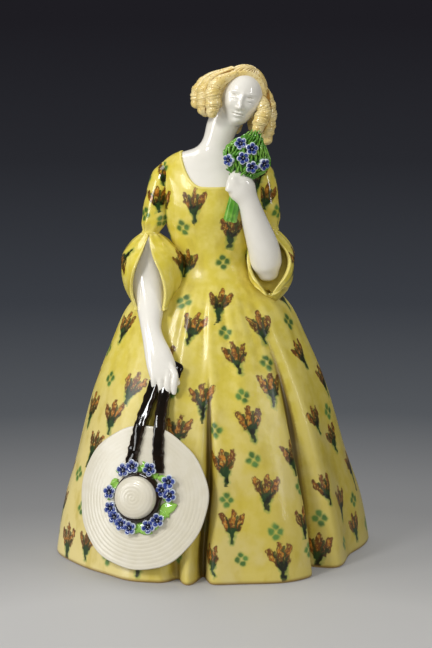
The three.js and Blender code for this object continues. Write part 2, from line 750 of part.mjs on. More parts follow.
const leftElbow = aboveWaist(33.5, -14, 1.5);
const leftWrist = aboveWaist(20.5, -27.5, 48);
const leftFist = aboveWaist(15, -30, 60);
const leftForearm = limb([
  [leftElbow, forearmHalfWidth * 0.5, forearmHalfWidth * 0.5],
  [between(leftElbow, leftWrist, 0.14, vec(0.6, 0.5, 0)), forearmHalfWidth * 1.2, forearmHalfWidth],
  [between(leftElbow, leftWrist, 0.36, vec(1.4, 0, 0)), forearmHalfWidth * 1.2, forearmHalfWidth],
  [between(leftElbow, leftWrist, 0.72, vec(0.6, 0, 0)), forearmHalfWidth * 0.98, forearmHalfWidth * 0.82],
  [leftWrist, wristHalfWidth * 1.08, wristHalfWidth * 0.82],
  [between(leftWrist, leftFist, 0.55, vec(-0.3, 0, 0)), palmHalfWidth * 1.02, palmHalfWidth * 0.66],
  [leftFist, palmHalfWidth * 0.85, palmHalfWidth * 0.62],
  [between(leftWrist, leftFist, 1.38), palmHalfWidth * 0.42, palmHalfWidth * 0.36],
], { sides: 14 });
place('left_forearm', leftForearm, whiteGlaze);

// Posy: a leafy mound against the shoulder, stems below the hand, and its flowers.

const stemTop = leftFist.clone().add(vec(-0.5, 1.5, -4));
const stemFoot = stemTop.clone().add(vec(-stemLength * 0.22, 2, -stemLength * 0.97));
place('posy_stems', limb([
  [stemTop, stemRadius * 0.9, stemRadius * 0.6],
  [between(stemTop, stemFoot, 0.5), stemRadius * 0.95, stemRadius * 0.65],
  [stemFoot, stemRadius * 1.1, stemRadius * 0.7],
], { sides: 10 }), greenGlaze);

const posyCentre = leftFist.clone().add(vec(5, 3.5, 13.8));
const posyTilt = degrees(20);

// Where the mound's surface lies, at a place seen from the front, and its way out there.
function onPosy(across, up) {
  const [u, w] = [across / posyHalfWidth, up / posyHalfHeight];
  const bulge = Math.sqrt(Math.max(0.06, 1 - u * u - w * w));
  const point = vec(across, -bulge * posyHalfDepth, up);
  const out = vec(u / posyHalfWidth, -bulge / posyHalfDepth, w / posyHalfHeight).normalize();
  const turned = [point, out].map((p) => p.applyAxisAngle(vec(0, 1, 0), posyTilt));
  return { point: turned[0].add(posyCentre), out: turned[1] };
}

function leafyMound() {
  const geometry = new THREE.SphereGeometry(1, 18, 12);
  geometry.rotateX(Math.PI / 2);
  const position = geometry.attributes.position;
  for (let i = 0; i < position.count; i++) {
    const p = vec().fromBufferAttribute(position, i);
    const bump = 1 + 0.05 * Math.sin(p.x * 9 + p.z * 5) * Math.cos(p.z * 10 - p.y * 6);
    position.setXYZ(i, p.x * posyHalfWidth * bump, p.y * posyHalfDepth * bump, p.z * posyHalfHeight * bump);
  }
  geometry.rotateY(posyTilt);
  geometry.translate(...posyCentre);
  return solidOf(geometry);
}

place('posy_leaves', leafyMound(), greenGlaze);

const posyFlowers = [[-6.2, 6.6], [0.6, 6], [-2.2, -0.4], [-9.2, -4.6], [4, -3.6], [9.8, 0]];
posyFlowers.forEach(([across, up], i) => {
  const { point, out } = onPosy(across, up);
  const side = out.clone().cross(vec(0, 0, 1)).normalize().negate();
  const rise = out.clone().cross(side).normalize();
  const shape = flower((a, b, c) => point.clone()
    .addScaledVector(side, a)
    .addScaledVector(rise, b)
    .addScaledVector(out, c + 0.4), 2.4);
  place(`posy_flower_${i + 1}`, shape, blueGlaze);
});

// Knots and cuffs: a gathered ring at each elbow, and a split bell of cloth below it.

// Share of the cuff's length, and its width there.
const cuffShape = [[0, 0.3], [0.12, 0.66], [0.3, 0.97], [0.5, 1], [0.75, 0.9], [1, 0.62]];

// How each cuff hangs, which way its split faces, the split's angle at each share, and
// where its hem is drawn to beside the split and behind.
const cuffs = {
  right: {
    drop: vec(1.2, -12.5, -cuffLength),
    faces: -8,
    split: [2, 3, 12, 54, 80, 92],
    size: 1.05,
    squeeze: 0.9,
    tip: vec(0, -10, -11),
    back: vec(0, 0, 0),
  },
  left: {
    drop: vec(0.5, -15.5, -cuffLength),
    faces: -10,
    split: [30, 60, 104, 120, 84, 16],
    size: 0.86,
    squeeze: 0.9,
    tip: vec(0, 0, 0),
    back: vec(0, 0, -6),
  },
};
const cuffPoints = 11;

function cuff(arm, { drop, faces, split, size, squeeze, tip, back }) {
  const foot = arm.knot.clone().add(drop);
  const rings = cuffShape.map(([share, wide], level) => {
    const centre = between(arm.knot, foot, share);
    const point = (turn, radius) => centre.clone().add(vec(
      Math.sin(turn) * radius,
      -Math.cos(turn) * radius * squeeze,
      0,
    )).add(tip.clone().lerp(back, Math.sin((turn - degrees(faces)) / 2) ** 2).multiplyScalar(share));
    const arc = (radius) => Array.from({ length: cuffPoints }, (_, i) => {
      const half = degrees(split[level] / 2);
      const turn = degrees(faces) + half + (i / (cuffPoints - 1)) * (Math.PI * 2 - half * 2);
      return point(turn, radius);
    });
    const radius = cuffHalfWidth * size * wide;
    return [...arc(radius), ...arc(radius - cuffThickness).reverse()];
  });
  return loft(rings);
}

for (const [name, arm] of Object.entries(arms)) {
  const gathered = [knotRadius, knotRadius * 0.95, knotRadius * 0.5];
  const knot = ellipsoid(arm.knot, gathered, { across: 12, down: 6 });
  place(`${name}_knot`, knot, yellowGlaze);
  place(`${name}_cuff`, cuff(arm, cuffs[name]), yellowGlaze);
}

// The origin is the middle of the ground that the figure covers.

figure.updateMatrixWorld(true);
const ground = new THREE.Box3().setFromObject(figure).getCenter(vec());
figure.position.set(-ground.x, -ground.y, 0);
figure.updateMatrixWorld(true);

export default figure;
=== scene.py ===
import math

import bpy
import numpy as np
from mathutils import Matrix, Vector


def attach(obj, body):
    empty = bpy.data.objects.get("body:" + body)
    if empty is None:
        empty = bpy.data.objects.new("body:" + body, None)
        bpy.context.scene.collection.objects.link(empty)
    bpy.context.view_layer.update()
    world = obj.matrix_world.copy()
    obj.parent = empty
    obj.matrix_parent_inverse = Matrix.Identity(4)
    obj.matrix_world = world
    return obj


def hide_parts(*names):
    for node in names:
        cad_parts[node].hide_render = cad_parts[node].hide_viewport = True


# A glazed earthenware lady in a wide dress, with a posy and a straw hat.
# Lengths are in millimetres until a piece is made, Z is up and the figure faces -Y.

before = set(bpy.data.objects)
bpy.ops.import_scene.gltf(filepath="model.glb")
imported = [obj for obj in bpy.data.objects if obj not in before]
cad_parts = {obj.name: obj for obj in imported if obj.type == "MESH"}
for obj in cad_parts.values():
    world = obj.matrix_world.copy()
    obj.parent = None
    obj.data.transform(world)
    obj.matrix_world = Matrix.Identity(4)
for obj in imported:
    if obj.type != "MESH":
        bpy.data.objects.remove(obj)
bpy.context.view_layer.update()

MM = 0.001
# From the figure's own axis to the middle of the ground that it covers.
SHIFT = np.array([-0.796, 1.931, 0.0])
# The height of the seam between skirt and bodice.
WAIST = 172.0
rng = np.random.default_rng(7)


def new_object(name, data):
    obj = bpy.data.objects.new(name, data)
    bpy.context.scene.collection.objects.link(obj)
    return obj


# Camera, floor, backdrop and lights

def rgb(red, green, blue):
    """A colour read as 0 to 255, as the linear colour that a shader takes."""
    levels = [v / 255 for v in (red, green, blue)]
    return tuple(v / 12.92 if v <= 0.04045 else ((v + 0.055) / 1.055) ** 2.4 for v in levels) + (1.0,)


def aim(obj, target):
    """Turns a camera or lamp to look at a point."""
    obj.rotation_mode = "QUATERNION"
    obj.rotation_quaternion = (Vector(target) - obj.location).to_track_quat("-Z", "Y")


CAMERA_TARGET = (0.0008, 0.0, 0.141)
CAMERA_RISE = math.radians(10)
CAMERA_DISTANCE = 1.2
CAMERA_LENS = 108.4
camera = new_object("camera", bpy.data.cameras.new("camera"))
camera.data.lens = CAMERA_LENS
camera.data.sensor_width = 36
camera.location = (
    CAMERA_TARGET[0],
    -CAMERA_DISTANCE * math.cos(CAMERA_RISE),
    CAMERA_TARGET[2] + CAMERA_DISTANCE * math.sin(CAMERA_RISE),
)
aim(camera, CAMERA_TARGET)
bpy.context.scene.camera = camera
bpy.context.scene.view_settings.view_transform = "Standard"


def softbox(name, place, target, size, power, mirrored=True):
    """A rectangular lamp in metres and watts. Glossy surfaces mirror it unless mirrored is off."""
    lamp = bpy.data.lights.new(name, "AREA")
    lamp.shape = "RECTANGLE"
    lamp.size, lamp.size_y = size
    lamp.energy = power
    obj = new_object(name, lamp)
    obj.location = place
    obj.visible_glossy = mirrored
    aim(obj, target)


softbox("key", (-0.95, -0.96, 1.15), (0, 0, 0.15), (0.3, 0.4), 13.0)
softbox("left", (-1.25, -0.55, 0.45), (0, 0, 0.1), (0.4, 0.7), 5.8)
softbox("right", (1.05, -0.75, 0.6), (0, 0, 0.12), (0.16, 0.5), 2.4)
softbox("fill", (0.25, -1.7, 0.75), (0, 0, 0.15), (0.9, 0.6), 6.0, mirrored=False)
softbox("top", (-0.1, 0.25, 1.15), (0, 0, 0.15), (0.7, 0.5), 3.5)


class Paint:
    """A node material with one Principled shader, and short ways to wire it."""

    def __init__(self, name, roughness, coat):
        self.material = bpy.data.materials.new(name)
        self.material.use_nodes = True
        self.tree = self.material.node_tree
        self.shader = self.tree.nodes["Principled BSDF"]
        for key, number in (("Roughness", roughness), ("Coat Weight", coat), ("Coat Roughness", 0.03)):
            self.put(self.shader.inputs[key], number)
        place = self.add("ShaderNodeTexCoord").outputs["Object"]
        self.place = self.vector("SCALE", place, scale=1 / MM)
        # What has been laid on so far.
        self.colour = None

    def add(self, kind, **settings):
        node = self.tree.nodes.new(kind)
        for key, value in settings.items():
            setattr(node, key, value)
        return node

    def put(self, socket, value):
        if isinstance(value, bpy.types.NodeSocket):
            self.tree.links.new(value, socket)
        else:
            socket.default_value = value

    def math(self, operation, *values):
        node = self.add("ShaderNodeMath", operation=operation)
        for socket, value in zip(node.inputs, values):
            self.put(socket, value)
        return node.outputs[0]

    def times(self, a, b):
        return self.math("MULTIPLY", a, b)

    def plus(self, a, b):
        return self.math("ADD", a, b)

    def minus(self, a, b):
        return self.math("SUBTRACT", a, b)

    def vector(self, operation, *values, scale=None):
        node = self.add("ShaderNodeVectorMath", operation=operation)
        for socket, value in zip(node.inputs, values):
            self.put(socket, value)
        if scale is not None:
            self.put(node.inputs["Scale"], scale)
        is_number = operation in ("LENGTH", "DISTANCE", "DOT_PRODUCT")
        return node.outputs["Value" if is_number else "Vector"]

    def split(self, vector):
        """The x, y and z of a vector."""
        node = self.add("ShaderNodeSeparateXYZ")
        self.put(node.inputs[0], vector)
        return tuple(node.outputs)

    def mix(self, share, a, b):
        """From colour a to colour b. Each is a socket, or red, green and blue read as 0 to 255."""
        node = self.add("ShaderNodeMix", data_type="RGBA")
        # The colour sockets come after the ones for numbers and vectors.
        for number, value in ((0, share), (6, a), (7, b)):
            self.put(node.inputs[number], rgb(*value) if isinstance(value, tuple) else value)
        return node.outputs[2]

    def lay(self, share, tint, strength=None):
        """A tint over the colour so far, where share says, and no stronger than strength."""
        share = share if strength is None else self.times(share, strength)
        self.colour = self.mix(share, self.colour, tint)

    def ramp(self, value, start, end, low=0.0, high=1.0):
        """low at start, high at end, and a smooth step between them."""
        node = self.add("ShaderNodeMapRange", interpolation_type="SMOOTHSTEP")
        for key, number in (("Value", value), ("From Min", start), ("From Max", end),
                            ("To Min", low), ("To Max", high)):
            self.put(node.inputs[key], number)
        return node.outputs[0]

    def noise(self, size, detail, vector=False, stretch=None):
        """Noise whose blots are about size millimetres wide."""
        place = self.place if stretch is None else self.vector("MULTIPLY", self.place, stretch)
        node = self.add("ShaderNodeTexNoise")
        self.put(node.inputs["Vector"], place)
        self.put(node.inputs["Scale"], 1 / size)
        self.put(node.inputs["Detail"], detail)
        return node.outputs["Color" if vector else "Fac"]

    def read(self, name, kind="Fac"):
        """A value that the piece carries at its points or corners."""
        return self.add("ShaderNodeAttribute", attribute_name=name).outputs[kind]

    def bumped(self, height, depth, share=0.5):
        """Small relief, depth millimetres deep, by the shading alone."""
        node = self.add("ShaderNodeBump")
        self.put(node.inputs["Strength"], share)
        self.put(node.inputs["Distance"], depth * MM)
        self.put(node.inputs["Height"], height)
        for key in ("Normal", "Coat Normal"):
            self.put(self.shader.inputs[key], node.outputs[0])

    def finished(self):
        self.put(self.shader.inputs["Base Color"], self.colour)
        return self.material


def glaze(name, thick, thin, pooled_and_shade, roughness, coat, mottle, relief):
    """A glaze that pools dark in the hollows, partly real pooling and partly painted shade, and runs thin
    over edges. Mottle is the share of thin blots, and relief the depth in millimetres of its uneven skin,
    if it has one."""
    paint = Paint(name, roughness, coat)
    hollow = paint.read("hollow")
    blots = paint.noise(7.0, 3.0)
    specks = paint.noise(1.3, 2.0)
    paint.colour = paint.mix(paint.ramp(blots, 0.35, 0.7, 0.0, mottle), thick, thin)
    # Lighter where the glaze runs thin over edges; on the cuffs' linings this is painted light.
    paint.lay(paint.ramp(hollow, -0.1, -0.9, 0.0, 0.8), thin)
    # Painted shade, together with the glaze's own pooling, darkens the hollows.
    depth = paint.plus(hollow, paint.times(paint.minus(specks, 0.5), 0.5))
    paint.lay(paint.ramp(depth, 0.08, 0.8), pooled_and_shade)
    if relief:
        paint.bumped(paint.plus(blots, paint.times(specks, 0.25)), relief)
    return paint


# The floor is pale near the figure and darkens all round it, as a lit sweep does. Far
# from the figure its colour is seen as it is written. Each stop of BACKDROP is a distance
# d from the sweep's middle, as d / (d + SWEEP_LENGTH), and a colour.
SWEEP_MIDDLE, SWEEP_LENGTH = (0.0, -330.0, 0.0), 1000.0
# Where the colour starts to be seen as written, and from where on it is.
PLAIN_FROM, PLAIN_WHOLLY = 200.0, 520.0
BACKDROP = [(0.19, rgb(188, 187, 185)), (0.30, rgb(134, 134, 134)), (0.42, rgb(84, 87, 91)),
            (0.56, rgb(58, 61, 67)), (0.75, rgb(40, 41, 46)), (0.94, rgb(30, 29, 34))]
floor_paint = Paint("floor_paint", 0.6, 0.0)
spread = floor_paint.vector("DISTANCE", floor_paint.place, SWEEP_MIDDLE)
ramp = floor_paint.add("ShaderNodeValToRGB")
far_share = floor_paint.math("DIVIDE", spread, floor_paint.plus(spread, SWEEP_LENGTH))
floor_paint.put(ramp.inputs[0], far_share)
for number, (at, shade) in enumerate(BACKDROP):
    stop = ramp.color_ramp.elements[number] if number < 2 else ramp.color_ramp.elements.new(at)
    stop.position = at
    stop.color = shade
floor_paint.bumped(floor_paint.noise(14.0, 2.0), 0.05, 0.2)
floor_paint.colour = ramp.outputs[0]
floor_paint.finished()
glow = floor_paint.add("ShaderNodeEmission")
floor_paint.put(glow.inputs["Color"], ramp.outputs[0])
seen_far = floor_paint.times(floor_paint.ramp(spread, PLAIN_FROM, PLAIN_WHOLLY),
                             floor_paint.add("ShaderNodeLightPath").outputs["Is Camera Ray"])
blend = floor_paint.add("ShaderNodeMixShader")
for socket, value in zip(blend.inputs, (seen_far, floor_paint.shader.outputs[0], glow.outputs[0])):
    floor_paint.put(socket, value)
floor_paint.put(floor_paint.tree.nodes["Material Output"].inputs["Surface"], blend.outputs[0])

FLOOR = 60.0  # metres each way
floor_mesh = bpy.data.meshes.new("floor")
floor_mesh.from_pydata([(x * FLOOR, y * FLOOR, 0) for x, y in ((-1, -1), (1, -1), (1, 1), (-1, 1))],
                       [], [(0, 1, 2, 3)])
floor_mesh.materials.append(floor_paint.material)
floor = new_object("floor", floor_mesh)

# The sky lights the figure softly. The camera sees the sweep's dark end in its place,
# and so do most glossy reflections, by this share.
DARK_IN_GLOSS = 0.8
world = bpy.data.worlds.new("studio")
bpy.context.scene.world = world
world.use_nodes = True
sky = world.node_tree.nodes["Background"]
sky.inputs["Color"].default_value = (0.66, 0.65, 0.64, 1.0)
sky.inputs["Strength"].default_value = 0.42
seen = world.node_tree.nodes.new("ShaderNodeBackground")
seen.inputs["Color"].default_value = rgb(31, 30, 35)
path = world.node_tree.nodes.new("ShaderNodeLightPath")
mirrored = world.node_tree.nodes.new("ShaderNodeMath")
mirrored.operation = "MULTIPLY_ADD"
mirrored.use_clamp = True
mirrored.inputs[1].default_value = DARK_IN_GLOSS
choice = world.node_tree.nodes.new("ShaderNodeMixShader")
for output, socket in (
    (path.outputs["Is Glossy Ray"], mirrored.inputs[0]), (path.outputs["Is Camera Ray"], mirrored.inputs[2]),
    (mirrored.outputs[0], choice.inputs[0]), (sky.outputs[0], choice.inputs[1]),
    (seen.outputs[0], choice.inputs[2]),
    (choice.outputs[0], world.node_tree.nodes["World Output"].inputs["Surface"]),
):
    world.node_tree.links.new(output, socket)


# Curves and surfaces

def smoothstep(value, start, end):
    t = np.clip((value - start) / (end - start), 0, 1)
    return t * t * (3 - 2 * t)


def circle(count):
    """Angles evenly round a full turn."""
    return np.linspace(0, 2 * math.pi, count, endpoint=False)


def between(start, end, out, into, f):
    """A cubic from start to end, with the slope out at the one and into at the other."""
    return start + f * (out + f * (3 * (end - start) - 2 * out - into + f * (2 * (start - end) + out + into)))


def curve_at(pairs, x):
    """A smooth curve through unevenly spaced pairs, read at x."""
    xs, ys = np.array(pairs, float).T
    x = np.asarray(x, float)
    i = np.searchsorted(xs[1:-1], x, side="left")
    last = len(xs) - 1

    def slope(k):
        low, high = np.maximum(k - 1, 0), np.minimum(k + 1, last)
        return (ys[high] - ys[low]) / (xs[high] - xs[low])

    span = xs[i + 1] - xs[i]
    return between(ys[i], ys[i + 1], slope(i) * span, slope(i + 1) * span, (x - xs[i]) / span)


def smooth_at(values, t):
    """A smooth curve through evenly spaced values, at 0 to 1 along it."""
    values = np.asarray(values, float)
    last = len(values) - 1
    place = np.minimum(np.asarray(t, float) * last, last - 1e-9)
    i = np.floor(place).astype(int)
    a, b, c, d = [values[np.clip(i + k, 0, last)] for k in (-1, 0, 1, 2)]
    return between(b, c, (c - a) / 2, (d - b) / 2, place - i)


def along_curve(points, t):
    """Points of a centripetal curve through the given points, at 0 to 1 along it."""
    p = np.asarray(points, float)
    p = np.vstack([2 * p[0] - p[1], p, 2 * p[-1] - p[-2]])
    last = len(p) - 3
    place = np.clip(np.asarray(t, float) * last, 0, last - 1e-9)
    i = np.floor(place).astype(int)
    a, b, c, d = [p[i + k] for k in range(4)]
    da, db, dc = [np.sqrt(np.linalg.norm(q - r, axis=1))[:, None] for q, r in ((a, b), (b, c), (c, d))]
    out = ((b - a) / da - (c - a) / (da + db) + (c - b) / db) * db
    into = ((c - b) / db - (d - b) / (db + dc) + (d - c) / dc) * db
    return between(b, c, out, into, (place - i)[:, None])


def unit(v):
    v = np.asarray(v, float)
    return v / np.maximum(np.linalg.norm(v, axis=-1, keepdims=True), 1e-12)


def turned(points, axis, angle):
    """Points turned about a line through the origin, by an angle in radians."""
    axis = unit(axis)
    points = np.asarray(points, float)
    along = (points @ axis)[..., None] * axis
    return along + (points - along) * math.cos(angle) + np.cross(axis, points) * math.sin(angle)


class Shape:
    """Points, with faces of four and of three corners."""

    def __init__(self, points, quads=(), tris=()):
        self.points = np.asarray(points, float).reshape(-1, 3)
        self.quads = np.asarray(quads, int).reshape(-1, 4)
        self.tris = np.asarray(tris, int).reshape(-1, 3)

    def triangles(self):
        return np.vstack([self.quads[:, [0, 1, 2]], self.quads[:, [0, 2, 3]], self.tris])

    def outward(self):
        a, b, c = self.points[self.triangles()].transpose(1, 0, 2)
        if (a * np.cross(b, c)).sum() < 0:
            self.quads, self.tris = self.quads[:, ::-1], self.tris[:, ::-1]
        return self

    def normals(self):
        sums = np.zeros_like(self.points)
        tris = self.triangles()
        a, b, c = self.points[tris].transpose(1, 0, 2)
        way = np.cross(b - a, c - a)
        for corner in range(3):
            for axis in range(3):
                sums[:, axis] += np.bincount(tris[:, corner], way[:, axis], len(self.points))
        return unit(sums)

    def averaged(self, values, rounds):
        """Values at the points, each drawn towards the mean of its neighbours."""
        edges = np.vstack([self.quads[:, [k, (k + 1) % 4]] for k in range(4)]
                          + [self.tris[:, [k, (k + 1) % 3]] for k in range(3)])
        a, b = np.vstack([edges, edges[:, ::-1]]).T
        count = np.maximum(np.bincount(a, minlength=len(self.points)), 1)
        values = np.array(values, float).reshape(len(self.points), -1)
        for _ in range(rounds):
            for axis in range(values.shape[1]):
                mean = np.bincount(a, values[b, axis], len(self.points)) / count
                values[:, axis] += (mean - values[:, axis]) * 0.6
        return values

    def relaxed(self, rounds, where=None):
        moved = self.averaged(self.points, rounds)
        share = 1 if where is None else where[:, None]
        self.points = self.points + (moved - self.points) * share
        return self

    def hollow(self, rounds, depth):
        """How far each point lies below the surface round it, from -1 to 1."""
        smooth = self.averaged(self.points, rounds)
        below = ((smooth - self.points) * self.normals()).sum(1) / depth
        return np.clip(self.averaged(below, 2)[:, 0], -1, 1)


def joined(shapes):
    points, quads, tris, start = [], [], [], 0
    for shape in shapes:
        points.append(shape.points)
        quads.append(shape.quads + start)
        tris.append(shape.tris + start)
        start += len(shape.points)
    return Shape(np.vstack(points), np.vstack(quads), np.vstack(tris))


def loft(rings, runs_on=False):
    """A closed skin through rings of equal length, with both ends capped."""
    rings = np.asarray(rings, float)
    levels, count = rings.shape[:2]
    points = rings.reshape(-1, 3)
    i = np.arange(count)
    j = (i + 1) % count
    bands = levels if runs_on else levels - 1
    quads = [np.stack([r * count + i, r * count + j, (r + 1) % levels * count + j,
                       (r + 1) % levels * count + i], 1) for r in range(bands)]
    tris = []
    if not runs_on:
        top = (levels - 1) * count
        points = np.vstack([points, rings[0].mean(0), rings[-1].mean(0)])
        foot, head = len(points) - 2, len(points) - 1
        tris = np.vstack([np.stack([np.full(count, foot), j, i], 1),
                          np.stack([np.full(count, head), top + i, top + j], 1)])
    return Shape(points, np.vstack(quads), tris).outward()


def limb(stations, sides, steps, relief=None, rounds=0.6):
    """A rounded limb through stations (place, half width, half depth), with rounded ends."""
    places = [s[0] for s in stations]
    t = np.linspace(0, 1, steps + 1)
    spine = along_curve(places, t)
    step = 1e-3
    way = unit(along_curve(places, np.minimum(t + step, 1)) - along_curve(places, np.maximum(t - step, 0)))
    side = unit(np.cross(way, (0, -1, 0)))
    out = unit(np.cross(side, way))
    wide, deep = [smooth_at([s[axis] for s in stations], t)[:, None, None] for axis in (1, 2)]
    turn = circle(sides)[None, :, None]
    swell = 1.0 if relief is None else relief(t[:, None], turn[..., 0])[..., None]
    rings = (spine[:, None] + side[:, None] * np.cos(turn) * wide * swell
             + out[:, None] * np.sin(turn) * deep * swell)

    def cap(end, sign):
        """Rings that close one end of the limb, from its tip inwards."""
        return [rings[end] + (spine[end] - rings[end]) * (1 - math.cos(a))
                + sign * way[end] * math.sin(a) * wide[end, 0, 0] * rounds
                for a in np.radians([84, 66, 46, 24])]

    return loft([*cap(0, -1), *rings, *cap(-1, 1)[::-1]])


def ball(centre, radii, across, down):
    """A skin of rings round a middle, with its ends up and down."""
    polar = np.linspace(0.04, math.pi - 0.04, down)[:, None]
    turn = circle(across)[None]
    rings = np.stack([np.sin(polar) * np.cos(turn), np.sin(polar) * np.sin(turn),
                      np.cos(polar) + 0 * turn], -1)
    return loft(rings * np.asarray(radii, float) + np.asarray(centre, float))


def mesh_of(name, shape, scale=1.0, shift=0.0):
    """A mesh from a shape, moved and then scaled."""
    mesh = bpy.data.meshes.new(name)
    faces = shape.quads.tolist() + shape.tris.tolist()
    mesh.from_pydata(((shape.points + shift) * scale).tolist(), [], faces)
    return mesh


def all_of(items, key, kind=int, width=1):
    """One property of all of a mesh's vertices, loops or faces."""
    values = np.empty(len(items) * width, kind)
    items.foreach_get(key, values)
    return values


def fused(shapes, voxel):
    """One skin round several shapes that run into each other."""
    obj = new_object("fused", mesh_of("fused", joined(shapes)))
    change = obj.modifiers.new("skin", "REMESH")
    change.mode = "VOXEL"
    change.voxel_size = voxel
    mesh = bpy.data.meshes.new_from_object(obj.evaluated_get(bpy.context.evaluated_depsgraph_get()))
    bpy.data.objects.remove(obj)
    shape = Shape(all_of(mesh.vertices, "co", float, 3), all_of(mesh.loops, "vertex_index"))
    bpy.data.meshes.remove(mesh)
    return shape.outward()


def made(piece, shape, slot, hollow, nodes=(), **values):
    """A piece of the figure, which stands for the CAD nodes given, or else for the one of its own
    name. Its glaze reads its values, of which hollow may also be what Shape.hollow takes."""
    name = f"{piece}_form"
    mesh = mesh_of(name, shape, MM, SHIFT)
    mesh.polygons.foreach_set("use_smooth", np.ones(len(mesh.polygons), bool))
    mesh.materials.append(GLAZES[slot])
    values["hollow"] = shape.hollow(*hollow) if isinstance(hollow, tuple) else hollow
    for key, numbers in values.items():
        layer = mesh.attributes.new(key, "FLOAT", "POINT")
        layer.data.foreach_set("value", np.asarray(numbers, np.float32).ravel())
    obj = new_object(name, mesh)
    nodes = nodes or [piece]
    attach(obj, "root")
    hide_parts(*nodes)
    return obj


# The dress pattern: sprigs of three buds and clusters of four dots, in a half-drop

SPRIG, SPRIG_ON_STEM, DOTS = 1, 2, 3
# Spacing of the columns and rows, and how far a motif reaches at most.
PATTERN_COLUMN, PATTERN_ROW, PATTERN_REACH = 24.0, 19.5, 16.0
# Shares of the sprigs that have no stem, and of the clusters that are painted.
STEMLESS, PAINTED = 0.62, 0.8
# How far each motif claims the cloth round it, against its neighbours.
CLAIM = {SPRIG: 1.2, SPRIG_ON_STEM: 1.4, DOTS: 0.8}


class Cloth:
    """A skin of rings, with lengths along and across it, on which motifs are laid out flat."""

    def __init__(self, shape, rows, sides, upward=False):
        rings = shape.points[:rows * sides].reshape(rows, sides, 3)
        steps = np.linalg.norm(np.roll(rings, -1, 1) - rings, axis=2)
        self.across = np.hstack([np.zeros((rows, 1)), np.cumsum(steps, 1)])
        falls = np.linalg.norm(np.diff(rings, axis=0), axis=2)
        self.down = np.vstack([np.zeros((1, sides)), np.cumsum(falls, 0)])
        self.rows, self.sides, self.way = rows, sides, -1 if upward else 1
        self.motifs = []

    def add(self, column, row, kind, lean, size):
        """A motif at shares 0 to 1 of the way round and down the skin, leaning by degrees."""
        self.motifs.append((column % 1.0, row, kind, math.radians(lean), size))

    def half_drop(self, start, end, phase=0):
        """Sprigs and dots by turns along each row from start down to end, and each row a step on
        from the last."""
        length = self.down.mean(1)
        count = max(1, round((end - start) / PATTERN_ROW))
        for step in range(count):
            at = start + (step + 0.5) / count * (end - start)
            row = np.interp(at, length, np.arange(self.rows))
            girth = self.across[int(row), -1]
            columns = 2 * max(2, round(girth / PATTERN_COLUMN / 2))
            for column in range(columns):
                # Counted from the middle of the front or of the back, whichever is nearer.
                from_middle = column - columns // 2 if 0.25 < column / columns < 0.75 else column
                is_dots = (step + from_middle + phase) % 2
                kind = DOTS if is_dots else SPRIG if rng.random() < STEMLESS else SPRIG_ON_STEM
                if kind == DOTS and rng.random() > PAINTED:
                    continue
                moved = np.interp(at + rng.uniform(-3.5, 3.5), length, np.arange(self.rows))
                self.add((column + 0.25 + 0.2 * step + rng.uniform(-0.12, 0.12)) / columns,
                         moved / (self.rows - 1), kind, rng.uniform(-16, 16), rng.uniform(0.95, 1.16))

    def print_on(self, obj):
        """Gives every face corner its place on the nearest motif: across, up and the motif's kind."""
        mesh = obj.data
        corners = all_of(mesh.loops, "vertex_index")
        starts, counts = [all_of(mesh.polygons, key) for key in ("loop_start", "loop_total")]
        loops = starts[counts == 4][:, None] + np.arange(4)
        loops = loops[(corners[loops] < self.rows * self.sides).all(1)]
        faces = corners[loops]
        girth = self.across[:, -1:]
        best = np.full(len(faces), PATTERN_REACH)
        local = np.zeros((len(mesh.loops), 3), np.float32)
        for column, row, kind, lean, size in self.motifs:
            whole, part = divmod(column * self.sides, 1)
            whole = int(whole)
            middle = self.across[:, whole] * (1 - part) + self.across[:, whole + 1] * part
            u = (self.across[:, :-1] - middle[:, None] + girth / 2) % girth - girth / 2
            whole = min(int(row * (self.rows - 1)), self.rows - 2)
            part = row * (self.rows - 1) - whole
            v = self.way * (self.down[whole] * (1 - part) + self.down[whole + 1] * part - self.down)
            a = ((u * math.cos(lean) + v * math.sin(lean)) / size).ravel()
            b = ((v * math.cos(lean) - u * math.sin(lean)) / size).ravel()
            far = np.hypot(a, b)[faces].mean(1) / CLAIM[kind]
            nearer = far < best
            best[nearer] = far[nearer]
            local[loops[nearer], 0] = a[faces[nearer]]
            local[loops[nearer], 1] = b[faces[nearer]]
            local[loops[nearer], 2] = kind
        layer = mesh.attributes.new("motif", "FLOAT_VECTOR", "CORNER")
        layer.data.foreach_set("vector", local.ravel())


# Brush strokes from start to end, each across and up from the motif's middle.
BUDS = [((-2.4, -2.4), (-6.2, 5.2)), ((-0.5, -1.0), (0.4, 7.8)), ((2.6, -2.4), (6.0, 6.2))]
LEAVES = [((-0.6, -6.0), (-3.2, 4.2)), ((0.4, -6.0), (2.6, 5.0)), ((0.2, -5.0), (4.6, 0.4))]
ROOTS = [((0.0, -7.0), (-2.0, -2.6)), ((0.1, -9.8), (0.0, -2.0)), ((0.0, -7.0), (2.1, -2.8))]
STEM = ((0.0, -7.5), (-0.8, -15.0))
DABS = [((-2.5, 0.1), (-2.4, 0.3)), ((2.5, -0.2), (2.6, 0.1)), ((0.2, 2.6), (0.0, 2.8)),
        ((-0.2, -2.7), (0.1, -2.8))]


